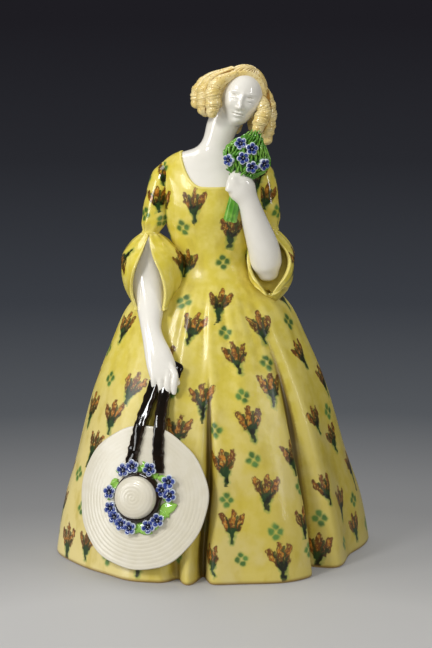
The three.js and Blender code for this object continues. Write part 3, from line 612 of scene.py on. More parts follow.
def dress_glaze():
    """Yellow glaze with the pattern brushed on it in brown, green and near black."""
    paint = glaze("dress_glaze", (214, 196, 70), (230, 215, 122), (136, 112, 26), 0.13, 0.4, 0.6, 0.3)
    x, _, level = paint.split(paint.place)
    low = paint.ramp(level, 170.0, 30.0)
    paint.lay(low, (170, 148, 60), 0.5)
    milky = paint.times(paint.ramp(paint.noise(22.0, 4.0), 0.46, 0.68), low)
    paint.lay(milky, (204, 189, 128), 0.55)
    # Painted light: the skirt's lower left is paler, where the light falls from the left.
    painted_light_left = paint.times(paint.ramp(x, -32.0, -74.0), paint.ramp(level, 135.0, 60.0))
    paint.lay(painted_light_left, (226, 209, 146), 0.7)
    runs = paint.noise(9.0, 3.0, stretch=(1.0, 1.0, 0.45))
    paint.lay(paint.ramp(runs, 0.5, 0.72, 0.0, 0.5), (184, 162, 44))

    across, up, kind = paint.split(paint.read("motif", "Vector"))
    wobble = paint.split(paint.noise(3.4, 1.0, vector=True))
    bristles = paint.split(paint.noise(0.9, 1.5, vector=True, stretch=(1.0, 1.0, 0.45)))

    def brushed(swing):
        """The place on the motif, pushed about as a loaded brush does."""
        place = paint.add("ShaderNodeCombineXYZ")
        for axis, at in enumerate((across, up)):
            push = paint.times(paint.minus(wobble[axis], 0.5), swing)
            bristle = paint.times(paint.minus(bristles[axis], 0.5), swing * 0.12)
            paint.put(place.inputs[axis], paint.plus(at, paint.plus(push, bristle)))
        return place.outputs[0]

    def stroke(place, start, end, taper=0.0):
        """The distance to a brush stroke from start to end, which taper makes thin at both ends."""
        run = np.subtract(end, start)
        from_start = paint.vector("SUBTRACT", place, (*start, 0.0))
        share = paint.math("DIVIDE", paint.vector("DOT_PRODUCT", from_start, (*run, 0.0)), float(run @ run))
        share = paint.math("MINIMUM", paint.math("MAXIMUM", share, 0.0), 1.0)
        far = paint.vector("DISTANCE", from_start, paint.vector("SCALE", (*run, 0.0), scale=share))
        if not taper:
            return far
        off = paint.minus(share, 0.45)
        return paint.plus(far, paint.times(paint.times(off, off), taper))

    def nearest(place, strokes, taper=0.0):
        least, *others = [stroke(place, *ends, taper) for ends in strokes]
        for other in others:
            least = paint.math("MINIMUM", least, other)
        return least

    def brush_on(where, distance, start, end, tint, strength):
        """A tint on some motifs, from none where its strokes are start away to whole at end."""
        paint.lay(paint.times(paint.ramp(distance, start, end), where), tint, strength)

    is_dots = paint.math("GREATER_THAN", kind, SPRIG_ON_STEM + 0.5)
    is_sprig = paint.minus(paint.math("GREATER_THAN", kind, SPRIG - 0.5), is_dots)
    on_stem = paint.times(paint.math("GREATER_THAN", kind, SPRIG + 0.5), is_sprig)
    place = brushed(3.8)
    buds, roots, dots = nearest(place, BUDS, 2.6), nearest(place, ROOTS), nearest(brushed(1.8), DABS)
    wash = paint.noise(8.0, 1.0)

    brush_on(is_sprig, roots, 3.0, 0.7, (92, 132, 52), 0.7)
    brush_on(on_stem, stroke(place, *STEM), 1.9, 0.6, (40, 58, 18), 0.9)
    bud_colour = paint.mix(paint.ramp(paint.noise(2.4, 1.5), 0.44, 0.64), (104, 50, 6), (184, 116, 32))
    towards_foot = paint.plus(wash, paint.times(paint.minus(up, 1.5), 0.03))
    bud_colour = paint.mix(paint.ramp(towards_foot, 0.38, 0.56, 0.9, 0.0), bud_colour, (72, 34, 4))
    towards_edge = paint.plus(buds, paint.times(paint.minus(paint.noise(1.2, 3.0), 0.5), 1.2))
    bud_colour = paint.mix(paint.ramp(towards_edge, 1.0, 1.9, 0.0, 0.85), bud_colour, (84, 38, 4))
    brush_on(is_sprig, buds, 2.6, 1.6, bud_colour, paint.ramp(bristles[2], 0.66, 0.56, 0.45, 0.95))
    brush_on(is_sprig, nearest(place, LEAVES), 1.0, 0.4, (38, 52, 16), 0.85)
    root_colour = paint.mix(paint.ramp(wash, 0.42, 0.58), (16, 18, 4), (30, 60, 26))
    brush_on(is_sprig, roots, 1.4, 0.5, root_colour, 0.92)
    brush_on(is_dots, dots, 3.2, 1.0, (146, 164, 72), 0.55)
    dot_colour = paint.mix(paint.ramp(wash, 0.4, 0.6), (34, 90, 36), (72, 124, 54))
    brush_on(is_dots, dots, 2.4, 0.8, dot_colour, 0.88)

    # Painted shade, darkest along the two sharp creases and in the deepest hollows.
    paint.lay(paint.ramp(paint.read("hollow"), 0.85, 1.45, 0.0, 0.85), (78, 60, 16))
    paint.lay(paint.ramp(level, 2.6, 0.6), (126, 88, 34), 0.75)
    # Only the skirt carries this value. On other pieces it reads as 0.
    inside = paint.read("inside")
    paint.lay(inside, (206, 184, 148))
    on_sleeves = paint.times(paint.ramp(level, 154.0, 182.0),
                             paint.ramp(paint.math("ABSOLUTE", x), 20.0, 28.0))
    dull = paint.minus(1.0, on_sleeves)
    roughness = paint.plus(paint.times(dull, 0.28), paint.ramp(inside, 0.0, 1.0, 0.14, 0.55))
    for key, value in (("Roughness", roughness), ("Coat Weight", paint.ramp(dull, 0.0, 1.0, 0.5, 0.18)),
                       ("Coat Roughness", paint.ramp(dull, 0.0, 1.0, 0.04, 0.07))):
        paint.put(paint.shader.inputs[key], value)
    return paint.finished()


def hair_glaze():
    """Honey glaze with small brown pits."""
    paint = glaze("hair_glaze", (225, 198, 120), (243, 228, 178), (150, 108, 42), 0.16, 0.6, 0.6, None)
    pits = paint.noise(1.15, 1.5)
    paint.lay(paint.ramp(pits, 0.6, 0.7, 0.0, 0.65), (176, 124, 52))
    paint.bumped(paint.plus(paint.ramp(pits, 0.7, 0.56), paint.noise(2.4, 2.0)), 0.3)
    return paint.finished()


def petal_glaze():
    """Blue glaze, worn white at the petals' rims and button and in the grooves between them."""
    paint = glaze("petal_glaze", (26, 42, 108), (58, 80, 158), (8, 10, 34), 0.12, 0.6, 0.5, 0.12)
    rim = paint.read("rim")
    paint.lay(paint.ramp(rim, 0.36, 0.2, 0.0, 0.9), (10, 12, 30))
    grooves = paint.ramp(paint.read("groove"), 0.35, 0.8, 0.0, 0.6)
    button = paint.ramp(rim, 0.13, 0.06, 0.0, 0.7)
    bare = paint.math("MAXIMUM", paint.ramp(rim, 0.8, 0.92), paint.math("MAXIMUM", grooves, button))
    paint.lay(bare, (214, 222, 226), 0.85)
    return paint.finished()


black = glaze("black_glaze", (14, 10, 6), (40, 28, 18), (8, 6, 4), 0.1, 0.7, 0.3, 0.12)
black.shader.inputs["Specular IOR Level"].default_value = 0.15
GLAZES = {
    "yellow_glaze": dress_glaze(),
    "white_glaze": glaze("white_glaze", (234, 230, 219), (239, 235, 225), (200, 194, 176),
                         0.13, 0.6, 0.5, 0.12).finished(),
    "hair_glaze": hair_glaze(),
    "straw_glaze": glaze("straw_glaze", (207, 200, 179), (214, 208, 191), (186, 176, 146),
                         0.32, 0.25, 0.6, 0.1).finished(),
    "black_glaze": black.finished(),
    "green_glaze": glaze("leaf_glaze", (78, 144, 40), (150, 198, 84), (18, 74, 14),
                         0.16, 0.55, 0.75, 0.15).finished(),
    "blue_glaze": petal_glaze(),
}


# Skirt

# Share of the height below the waist, and share of the flare or of the sway there.
SIDE_FLARE = [(0, 0), (0.02, 0.07), (0.05, 0.2), (0.105, 0.36), (0.233, 0.505), (0.378, 0.645),
              (0.529, 0.751), (0.68, 0.84), (0.814, 0.933), (1, 1)]
FRONT_FLARE = [(0, 0), (0.02, 0.045), (0.05, 0.12), (0.105, 0.215), (0.233, 0.385), (0.378, 0.555),
               (0.529, 0.71), (0.68, 0.84), (0.814, 0.933), (1, 1)]
SWAY = [(0, 0), (0.1, 1), (0.3, 0.8), (0.6, 0.5), (1, 0)]
SKIRT_SWAY = 2.4
# The angles from the front of the two folds with a sharp crease.
FRONT_FOLD, LEFT_FOLD = -5, 48.5
# Angle from the front, half spread, depth at the hem and the share of the height where it has gone.
FOLDS = [(FRONT_FOLD, 2.7, 16, 0.74), (-9, 3.2, -3, 0.5), (-16, 2.8, 9, 0.16), (-33, 9, -4, 0.1),
         (30, 11, -4, 0.75), (LEFT_FOLD, 4.6, 20, 0.96), (74, 13, 7.5, 0.9), (103, 10, -5, 0.9),
         (124, 6, 9, 0.9), (150, 5, 7, 0.7), (178, 7, 9, 0.92), (-153, 5, 8, 0.75), (-124, 6, 9, 0.92),
         (-99, 4, 6, 0.85), (-78, 9, -2.5, 0.8)]
HEM_HALF_WIDTH, HEM_HALF_DEPTH = 96.5, 85.0
WAIST_HALF_WIDTH, WAIST_HALF_DEPTH = 20.8, 16.5
SKIRT_WALL = 5.0


def from_fold(angle, height, at):
    """How far round from a fold, of which the foremost one leans to the middle on its way up."""
    leans = 4.0 * smoothstep(height, 6, 66) if at == FRONT_FOLD else 0.0
    return (angle - np.radians(at + leans) + math.pi) % (2 * math.pi) - math.pi


def skirt_radius(angle, height):
    """From the skirt's own axis to its cloth, which waves in and out with the folds."""
    below = 1 - height / WAIST
    wide = WAIST_HALF_WIDTH + (HEM_HALF_WIDTH - WAIST_HALF_WIDTH) * curve_at(SIDE_FLARE, below)
    deep = WAIST_HALF_DEPTH + (HEM_HALF_DEPTH - WAIST_HALF_DEPTH) * curve_at(FRONT_FLARE, below)
    radius = 1 / np.hypot(np.sin(angle) / wide, np.cos(angle) / deep)
    for at, spread_deg, depth, top in FOLDS:
        off = from_fold(angle, height, at)
        fade = 1 - smoothstep(height / WAIST, 0, top)
        radius -= depth * fade * (wide / HEM_HALF_WIDTH) * np.exp(-(off / math.radians(spread_deg)) ** 2)
    return radius


def around(angle, radius, height):
    """Places at an angle from the front, round an axis that sways to one side under the waist."""
    sway = SKIRT_SWAY * curve_at(SWAY, 1 - height / WAIST)
    return np.stack([np.sin(angle) * radius - sway, -np.cos(angle) * radius, height], -1)


def skirt_place(angle, height, out):
    angle, height = np.broadcast_arrays(np.asarray(angle, float), np.asarray(height, float))
    return around(angle, skirt_radius(angle, height) + out, height)


def skirt_point(degrees, height, out):
    return skirt_place(np.array([math.radians(degrees)]), np.array([float(height)]), out)[0]


def crease(angle, height, at, low):
    """The sharp line at the bottom of a fold, from 0 to 1."""
    share = height / WAIST
    fade = smoothstep(share, low, low + 0.25) * smoothstep(share, 0.78, 0.45)
    return fade * np.exp(-(from_fold(angle, height, at) / math.radians(1.5)) ** 2)


def gathers(angle, height):
    """Soft flutes in the cloth, that start at the waist's seam and widen on the way down."""
    share = height / WAIST
    fade = smoothstep(share, 1.0, 0.86) * (0.35 + 0.65 * smoothstep(share, 0.0, 0.5))
    wide = 0.55 * np.cos(13 * angle + 1.6 * np.sin(3 * angle) + 0.9 * np.sin(share * 5))
    fine = 0.22 * np.cos(31 * angle + 2.4 * np.sin(2 * angle)) * smoothstep(share, 0.45, 0.9)
    return (wide + fine) * fade - 1.6 * crease(angle, height, FRONT_FOLD, 0.12)


def seam_flare(away, length):
    """Bodice and skirt meet in a soft hollow, so both swell a little towards the waist's seam."""
    return 4.4 * np.exp(-away / length)


def build_skirt():
    sides = 540
    turn = circle(sides)
    levels = np.concatenate([[WAIST, WAIST - 0.03], WAIST * (1 - np.linspace(0, 1, 148)[1:] ** 1.25)])
    levels = levels[levels > 1.6]
    skin = np.array([skirt_place(turn, level, gathers(turn, level) + seam_flare(WAIST - level, 12.0))
                     for level in levels])
    # The folds are eased on their way down, and less so near the waist and the hem.
    number = np.arange(len(skin))
    free = np.minimum(number / 24, number[::-1] / 8).clip(0, 1)[1:-1, None, None]
    for _ in range(40):
        skin[1:-1] += 0.5 * free * ((skin[:-2] + skin[2:]) / 2 - skin[1:-1])
    rings = list(skin)
    for out, level in [(-0.1, 1.1), (-0.35, 0.5), (-1.0, 0.0), (-SKIRT_WALL + 1.0, 0.0),
                       (-SKIRT_WALL + 0.3, 0.5)]:
        ring = skirt_place(turn, 1.0, gathers(turn, 1.0) + out)
        ring[:, 2] = level
        rings.append(ring)
    outer = len(rings)
    # The wall's inside runs clear of the folds.
    reach = math.radians(6)
    for level in np.linspace(3, WAIST - 0.4, 14):
        height = np.full(sides, level)
        least = np.min([skirt_radius(turn + reach * k, height) for k in (-1, -0.5, 0, 0.5, 1)], 0)
        rings.append(around(turn, least - SKIRT_WALL, height))
    shape = loft(np.array(rings), runs_on=True)
    inside = np.repeat(np.arange(len(rings)) >= outer - 3, sides).astype(float)
    seam_fade = smoothstep(WAIST - shape.points[:, 2], 0.5, 12)
    # The two sharp creases are painted dark, as painted shade in them.
    crease_shade = [crease(np.tile(turn, len(rings)), shape.points[:, 2], at, -0.25)
             for at in (FRONT_FOLD, LEFT_FOLD)]
    hollow = shape.hollow(60, 0.7) * seam_fade + 1.1 * np.maximum(*crease_shade)
    cloth = Cloth(shape, outer - 4, sides)
    cloth.half_drop(6.0, cloth.down[-1].mean() - 2)
    cloth.print_on(made("skirt", shape, "yellow_glaze", hollow, inside=inside))


# Bodice, chest, neck and head

TORSO_LENGTH = 77.0
# Share of the height over the waist, half width, half depth and lean to the front.
TORSO = [(0, 20.8, 16.5, 0), (0.12, 20.8, 16.5, 0), (0.31, 26.62, 18.5, 1), (0.5, 30.5, 20.5, 2.5),
         (0.68, 31.5, 19.475, 2), (0.8, 32.5, 16.4, 0.5), (0.89, 30.55, 13.53, -1), (0.96, 22.75, 11.07, -2),
         (1, 11.7, 8.61, -2)]


def torso_place(angle, share, inset=0.0):
    angle, share = np.broadcast_arrays(np.asarray(angle, float), np.asarray(share, float))
    wide, deep, lean = [curve_at([(row[0], row[k]) for row in TORSO], share) for k in (1, 2, 3)]
    return np.stack([np.sin(angle) * (wide - inset), -np.cos(angle) * (deep - inset) - lean,
                     WAIST + share * TORSO_LENGTH], -1)


def neckline_depth(points):
    """How far inside the U of the neckline a point lies, seen from the front. Outside it is less than 0."""
    half, bottom, climb, front = 21.5, 55.5, 14 / 41, 20.5
    corner = half * 0.31
    t = np.linspace(0, 1, 24)
    arc = np.stack([(1 - t) ** 2 * half + 2 * (1 - t) * t * half * 0.8 + t ** 2 * corner,
                    (1 - t) ** 2 * TORSO_LENGTH + 2 * (1 - t) * t * bottom + t ** 2 * bottom], 1)
    line = np.vstack([[half, 140], arc, [0, bottom]])
    x = np.abs(points[:, 0])
    z = points[:, 2] - WAIST - climb * (points[:, 1] + front)
    far = np.full(len(points), np.inf)
    for a, b in zip(line[:-1], line[1:]):
        run = b - a
        share = np.clip(((x - a[0]) * run[0] + (z - a[1]) * run[1]) / (run @ run), 0, 1)
        far = np.minimum(far, np.hypot(x - a[0] - share * run[0], z - a[1] - share * run[1]))
    edge = np.interp(x, line[::-1, 0], line[::-1, 1])
    return np.where((x < half) & (z > edge), far, -far)


def build_bodice():
    turn = circle(380)[None]
    share = np.concatenate([[0, 0.0004], np.linspace(0, 0.94, 205)[1:], np.linspace(0.945, 1, 24)])[:, None]
    shape = loft(torso_place(turn, share, -seam_flare(share * TORSO_LENGTH, 8.0)))
    depth = neckline_depth(shape.points)
    sunk = 2.6 * smoothstep(depth, -0.35, 0.55) - 0.35 * np.exp(-((depth + 1.0) / 0.7) ** 2)
    shape.points -= shape.normals() * sunk[:, None]
    cloth = Cloth(shape, share.size, turn.size, upward=True)
    cloth.half_drop(1.0, cloth.down[-1].mean() - 14, 1)
    hollow = shape.hollow(12, 0.35) * smoothstep(shape.points[:, 2] - WAIST, 0.5, 5)
    cloth.print_on(made("bodice", shape, "yellow_glaze", hollow))


build_skirt()
build_bodice()

HEAD_CENTRE = np.array([17.0, -4.0, WAIST + 107.8])
HEAD_HALF = np.array([13.3, 15.0, 17.5])
HEAD_TILT = math.radians(14)


def on_head(points):
    """From the head's own upright place to the figure's."""
    return turned(points, (0, 1, 0), HEAD_TILT) + HEAD_CENTRE


def off_head(points):
    """From the figure's place back to the head's own upright one."""
    return turned(np.asarray(points) - HEAD_CENTRE, (0, 1, 0), -HEAD_TILT)


def head_shape(across=150, down=110):
    shape = ball((0, 0, 0), (1, 1, 1), across, down)
    x, y, z = shape.points.T
    narrow = 1 - 0.26 * smoothstep(-z, -0.1, 1)
    chin = 0.16 * smoothstep(-z, 0.3, 1)
    shape.points = on_head(np.stack([x * narrow, y * narrow - chin, z], 1) * HEAD_HALF)
    return shape


# Soft mounds and hollows of a calm, closed-eyed face: across to either side, up, half width,
# half height and rise.
FACE = [
    (0, 0.2, 1.3, 3.4, 1.0), (0, -4.6, 1.5, 1.7, 1.9), (0, -5.6, 1.9, 1.0, 0.9), (1.9, -5.7, 0.8, 0.8, 0.6),
    (4.9, 0.7, 2.7, 1.9, -1.3), (4.9, 0.1, 2.0, 1.15, 1.15), (4.9, -1.15, 2.2, 0.24, -0.4),
    (4.8, 1.5, 2.2, 0.28, -0.3), (4.8, 3.5, 3.0, 0.8, 0.5), (6.6, -5.0, 3.0, 2.8, 0.6),
    (0, -7.5, 0.6, 0.8, -0.3), (1.0, -8.7, 1.2, 0.6, 0.65), (0, -10.5, 1.8, 0.7, 0.9),
    (0, -9.55, 2.7, 0.22, -0.7), (2.9, -9.6, 0.7, 0.6, -0.35), (0, -12.0, 2.0, 0.6, -0.4),
    (0, -14.0, 2.6, 1.6, 0.9),
]
NECK_HALF = 9.0


def build_bust():
    torso = loft(torso_place(circle(160)[None], np.linspace(0.45, 1, 60)[:, None], 0.9))
    foot = np.array([0.5, 2.5, WAIST + TORSO_LENGTH - 9])

    def station(share, offset, wide, deep):
        return foot + (HEAD_CENTRE - foot) * share + offset, NECK_HALF * wide, NECK_HALF * deep

    neck = limb([station(0, (0, 0, 0), 2.5, 1.15), station(0.12, (-1.6, 0.4, 0), 1.62, 1.06),
                 station(0.28, (-3, 0.8, 0), 1.06, 1), station(0.58, (-4.2, 1.5, 0), 1.08, 0.98),
                 station(0.88, (-3.4, 2.5, 0), 1.2, 1.02)], 80, 60)
    shape = fused([torso, neck, head_shape()], 0.4)
    local = off_head(shape.points)
    up = shape.points[:, 2] - WAIST
    neck_root = smoothstep(up, 58, 68) * (1 - smoothstep(up, 80, 92))
    under_chin = (1 - smoothstep(local[:, 2], -13.5, -10)) * smoothstep(local[:, 2], -24, -18)
    # The joints with the chest and the chin are worked smooth.
    shape.relaxed(5)
    shape.relaxed(220, neck_root)
    shape.relaxed(24, under_chin * (1 - neck_root))
    local = off_head(shape.points)
    front = smoothstep(-local[:, 1], 3, 7) * smoothstep(local[:, 2], -17.5, -15.5)
    rise = np.zeros(len(local))
    for x, z, half_x, half_z, amount in FACE:
        for side in (-1, 1) if x else (1,):
            rise += amount * np.exp(-((local[:, 0] - side * x) / half_x) ** 2
                                    - ((local[:, 2] - z) / half_z) ** 2)
    way = turned((0, -1, 0), (0, 1, 0), HEAD_TILT)
    shape.points += unit(shape.normals() + way) * (rise * front)[:, None]
    made("bust", shape, "white_glaze", (8, 0.22), ["head", "neck_and_chest"])


build_bust()


# Hair

CURL_RADIUS = 4.7
# Root, belly and tip of each curl, from the middle of the head.
CURLS = {
    "right_curl": [
        [[-4, -8.5, 14.5], [-16.6, -9.5, 5], [-17.8, -9.5, -8.5]],
        [[-5, -3, 16.5], [-21.8, -4, 4.5], [-23.2, -4, -7]],
        [[-6, 4, 16.5], [-25.2, 3, 4], [-27.2, 2.5, -3.5]],
        [[-9, 9.5, 13], [-20.5, 9.5, 2.5], [-21.6, 9.5, -9]],
    ],
    "left_curl": [
        [[12, -3, 2], [13, -7, -9], [9.5, -8.5, -18]],
        [[12, -1, 8], [16.4, -2, -9], [15, -3, -25]],
        [[11, 7, 7], [15.6, 7.5, -8], [15.2, 7, -21]],
    ],
    "back_curl": [
        [[-6, 13, 7], [-12, 17, -3], [-13, 16.5, -17]],
        [[1, 14.5, 8], [-2, 19.5, -4], [-3, 18.5, -20]],
        [[8, 13, 7], [8.5, 17.5, -5], [7.5, 16.5, -19]],
    ],
}


def hair_cap():
    """Combed hair over the skull, sunk out of sight at the face and the nape."""
    shape = head_shape(340, 260)
    x, y, z = off_head(shape.points).T
    face = np.sqrt(((x - 1.6) / 17.3) ** 2 + ((y + 19.5) / 19.2) ** 2 + ((z + 5.95) / 22.75) ** 2)
    nape = np.sqrt((x / 18.6) ** 2 + (y / 21.0) ** 2 + ((z + 21.9) / 12.6) ** 2)
    # Less than 0 within the two ellipsoids, where the skin shows.
    bare = np.minimum(face, nape) - 1
    cover = smoothstep(bare, -0.015, 0.09)
    part = np.arctan2(x - 3.5, -(y + 2)) * 15 + z * 0.35
    strands = np.abs(np.sin(part + 0.7 * np.sin(z * 0.35))) ** 0.7 - 0.6
    fine = np.sin(part * 3.1 + 1.3 * np.sin(z * 0.5)) * 0.12
    rise = -1.2 + cover * (3.3 + 0.95 * (strands + fine) * smoothstep(bare, 0.02, 0.2))
    shape.points += shape.normals() * rise[:, None]
    return shape


def wound_curl(root, belly, tip):
    """A spirally wound curl, and points along its middle."""
    swing = (belly - root) * (1, 1, 0) * 0.22
    phase = rng.uniform(0, 6)

    def relief(t, turn):
        along = t * np.linalg.norm(tip - root) * 1.25
        uneven = 0.9 * np.sin(turn + along * 0.45 + phase) + 0.6 * np.sin(along * 1.3 + phase * 3)
        wrap = np.sin(2 * math.pi * along / 4.2 + 2 * turn + uneven)
        coarse = np.sin(2 * math.pi * along / 6.5 + turn + phase * 2)
        return 1 + (0.07 * np.abs(wrap) - 0.04 + 0.06 * coarse) * smoothstep(t, 0.12, 0.4)

    stations = [(place, CURL_RADIUS * wide, CURL_RADIUS * deep) for place, wide, deep in (
        (root, 0.45, 0.45), ((root + belly) / 2 + swing, 0.84, 0.82), (belly, 1, 1),
        (belly + (tip - belly) * 0.62, 0.96, 0.94), (tip, 0.74, 0.74))]
    spine = along_curve([place for place, _, _ in stations], np.linspace(0, 1, 40))
    return limb(stations, 64, 150, relief, 1.0), spine


def build_hair():
    forms = {f"{family}_{number}": wound_curl(*(HEAD_CENTRE + np.array(route)))
             for family, routes in CURLS.items() for number, route in enumerate(routes, 1)}
    forms["hair_cap"] = hair_cap(), np.empty((0, 3))
    for name, (shape, _) in forms.items():
        near = np.full(len(shape.points), np.inf)
        for point in np.vstack([spine for other, (_, spine) in forms.items() if other != name]):
            near = np.minimum(near, np.linalg.norm(shape.points - point, axis=1))
        # Between curls that lie close together the glaze darkens, partly real pooling and partly painted
        # shade.
        crevice_pool_and_shade = smoothstep(near, CURL_RADIUS * 1.12, CURL_RADIUS * 0.94)
        crevice_pool_and_shade *= 0.2 if name == "hair_cap" else 0.78
        made(name, shape, "hair_glaze", np.maximum(0.8 * shape.hollow(14, 0.12), crevice_pool_and_shade))


build_hair()


# Sleeves, knots and cuffs

def line_from(start, end):
    """Gives places by a line, from a share of the way from start to end and an offset from there."""
    return lambda share, offset=(0, 0, 0): start + (end - start) * share + np.array(offset, float)


# Which side, the shoulder, and the knot at the elbow that gathers the cuff.
ARMS = {
    "right": (-1, np.array([-28.0, 1, WAIST + 62.5]), np.array([-38.2, -5, WAIST + 26])),
    "left": (1, np.array([27.5, 1, WAIST + 64]), np.array([34.5, -5, WAIST + 28])),
}
SLEEVE_HALF = 8.4
# Row, column and kind of a sleeve's motifs.
SLEEVE_MOTIFS = [(0.17, 0.25, SPRIG), (0.36, 0.1, DOTS), (0.5, 0.27, SPRIG), (0.72, 0.14, DOTS),
                 (0.3, 0.5, DOTS), (0.55, 0.55, SPRIG), (0.3, 0.8, SPRIG), (0.7, 0.4, DOTS),
                 (0.6, 0.86, SPRIG)]
CUFF_LENGTH = 37.0
CUFF_HALF_WIDTH = 17.0
CUFF_WALL = 1.8
# Share of the way from the knot to the opening, and share of the full half width.
CUFF_SHAPE = [(0, 0.3), (0.12, 0.66), (0.3, 0.97), (0.5, 1), (0.75, 0.9), (1, 0.62)]
# How far the cuff hangs from its knot, the way its split faces, the split's degrees at each share
# above, the width, the depth for its width, and how far the split's edge and the back are pulled.
CUFFS = {
    "right": ((1.2, -12.5, -CUFF_LENGTH), -8, [4, 14, 30, 56, 78, 92], 1.05, 0.9, (0, -10, -7.5), (0, 0, 0)),
    "left": ((0.5, -15.5, -CUFF_LENGTH), -10, [30, 60, 104, 120, 84, 16], 0.86, 0.9, (0, 0, 0), (0, 0, -6)),
}
CUFF_FLUTES = {"right": 5, "left": 4}
# Column, row and kind of a cuff's motifs.
CUFF_MOTIFS = {
    "right": [(0.86, 0.36, SPRIG), (0.68, 0.65, DOTS), (0.5, 0.4, SPRIG), (0.35, 0.65, DOTS),
              (0.2, 0.4, SPRIG)],
    "left": [(0.14, 0.45, SPRIG), (0.32, 0.7, DOTS), (0.5, 0.4, SPRIG), (0.68, 0.65, DOTS), (0.9, 0.4, DOTS)],
}


def build_sleeve(name):
    side, shoulder, knot = ARMS[name]
    at = line_from(shoulder, knot)
    bow = (side * 0.9, -0.5, 0)
    stations = [(place, SLEEVE_HALF * wide, SLEEVE_HALF * deep) for place, wide, deep in (
        (at(-0.08), 0.62, 0.7), (at(0.07, bow), 0.93, 1.05), (at(0.3, bow), 1, 1.1), (at(0.6), 1.02, 1),
        (at(0.85), 0.84, 0.82))]
    stations.append((knot, 4.8, 4.8))

    def relief(t, turn):
        gather = smoothstep(t, 0.62, 1.0)
        pull = np.sin(turn * 7 + 3 * t + side) * 0.07 * gather
        sag = 0.034 * np.sin(t * 21 + 2.6 * np.sin(turn + 0.6)) * smoothstep(t, 0.3, 0.75)
        return 1 + pull + sag

    sides = 150
    shape = limb(stations, sides, 170, relief, 0.5)
    cloth = Cloth(shape, (len(shape.points) - 2) // sides, sides)
    for row, column, kind in SLEEVE_MOTIFS:
        cloth.add(column if side > 0 else 0.5 - column, row, kind, rng.uniform(-20, 20), 0.95)
    cloth.print_on(made(f"{name}_sleeve", shape, "yellow_glaze", (14, 0.3)))


def cuff_place(name, turn, share, inset):
    """turn runs round the cuff from its split, from 0 to 1."""
    drop, faces, split, size, squeeze, tip, back = CUFFS[name]
    turn, share = np.broadcast_arrays(np.asarray(turn, float), np.asarray(share, float))
    half = np.radians(curve_at([(s, degrees) for (s, _), degrees in zip(CUFF_SHAPE, split)], share)) / 2
    radius = CUFF_HALF_WIDTH * size * curve_at(CUFF_SHAPE, share) - inset
    angle = np.radians(faces) + half + turn * (2 * math.pi - 2 * half)
    centre = ARMS[name][2] + share[..., None] * np.array(drop, float)
    back_share = np.sin((angle - np.radians(faces)) / 2)[..., None] ** 2
    pull = (np.array(tip, float) * (1 - back_share) + np.array(back, float) * back_share) * share[..., None]
    if name == "left":
        # Its sides lift towards the opening.
        pull = pull + (np.sin(angle - np.radians(faces)) ** 2 * share ** 4)[..., None] * (0.0, 0.0, 7.0)
    ring = np.stack([np.sin(angle) * radius, -np.cos(angle) * radius * squeeze, 0 * angle], -1)
    return centre + pull + ring


def build_cuff(name):
    sides, levels = 150, 110
    turn = np.linspace(0, 1, sides)
    rings = []
    for s in np.linspace(0.0, 1, levels):
        wave = 0.75 * smoothstep(s, 0.15, 0.9) * np.sin(turn * math.pi * 2 * CUFF_FLUTES[name] + 0.6)
        gather = 0.35 * (1 - smoothstep(s, 0.05, 0.35)) * np.sin(turn * math.pi * 2 * 11)
        at_split = smoothstep(np.abs(turn - 0.5), 0.482, 0.492) * (s > 0.12)
        rim = 0.45 * (smoothstep(s, 0.965, 0.985) + at_split)
        ridge = 0
        if name == "right":
            # A ridge beside the split, where the cloth is bent back.
            crest = 0.13 + 0.1 * math.sin(math.pi * s)
            ridge = 1.3 * math.sin(math.pi * min(1.0, s * 1.1)) * np.exp(-((turn - crest) / 0.028) ** 2)
        level = np.full(sides, s)
        rings.append(np.vstack([cuff_place(name, turn, level, -(wave + ridge + gather + rim)),
                                cuff_place(name, turn, level, CUFF_WALL - wave)[::-1]]))
    shape = loft(rings)
    hollow = shape.hollow(10, 0.3)
    # The cuff's inside is painted lighter, as painted light where it lies in shade.
    painted_light_lining = np.tile(np.repeat([0.0, 0.7], sides), levels)
    hollow[:len(painted_light_lining)] = np.maximum(hollow[:len(painted_light_lining)] - painted_light_lining, -1)
    cloth = Cloth(shape, levels, 2 * sides)
    for column, row, kind in CUFF_MOTIFS[name]:
        lean = rng.uniform(150, 200) if name == "right" and column > 0.8 else 10
        cloth.add(column / 2, row, kind, lean, 0.95)
    cloth.print_on(made(f"{name}_cuff", shape, "yellow_glaze", hollow))

    knot = ARMS[name][2]
    ring = limb([(knot + (math.cos(a) * 3.6, math.sin(a) * 3.4, 0.4 * math.sin(3 * a)), 1.9, 2.1)
                 for a in np.linspace(0, 2 * math.pi, 13)], 20, 120)
    shape = fused([ring, ball(knot, (5.2, 5.0, 2.6), 48, 30)], 0.35).relaxed(4)
    made(f"{name}_knot", shape, "yellow_glaze", (10, 0.2))


for arm in ARMS:
    build_sleeve(arm)
    build_cuff(arm)


# Arms and hands

# Half widths of a forearm, a wrist and a palm.
ARM_HALF, WRIST_HALF, PALM_HALF = 8.0, 6.1, 8.4
HAND_ACROSS = unit(np.array([1, -0.25, -0.12]))
RIGHT_WRIST = skirt_point(-41.2, 142.8, 9.5)
RIGHT_KNUCKLES = skirt_point(-27.8, 118.8, 6.5)
RIGHT_THUMB = RIGHT_WRIST + (RIGHT_KNUCKLES - RIGHT_WRIST) * 0.45 + HAND_ACROSS * PALM_HALF * 0.7
RIGHT_THUMB_TIP = RIGHT_KNUCKLES + HAND_ACROSS * PALM_HALF * 0.95 + (0, -0.5, -3)
LEFT_WRIST = np.array([20.5, -27.5, WAIST + 48])
LEFT_FIST = np.array([15.0, -30.0, WAIST + 60])


def finger(places, radius):
    widths = [radius, radius * 0.96, radius * 0.98, radius * 0.8]
    return limb([(p, w, w * 0.94) for p, w in zip(places, widths)], 20, 24, rounds=1.0)


def forearm_and_palm(stations):
    """One limb through stations of place, kind of half width, and shares of it across and deep."""
    return limb([(place, half * wide, half * deep) for place, half, wide, deep in stations], 80, 120)


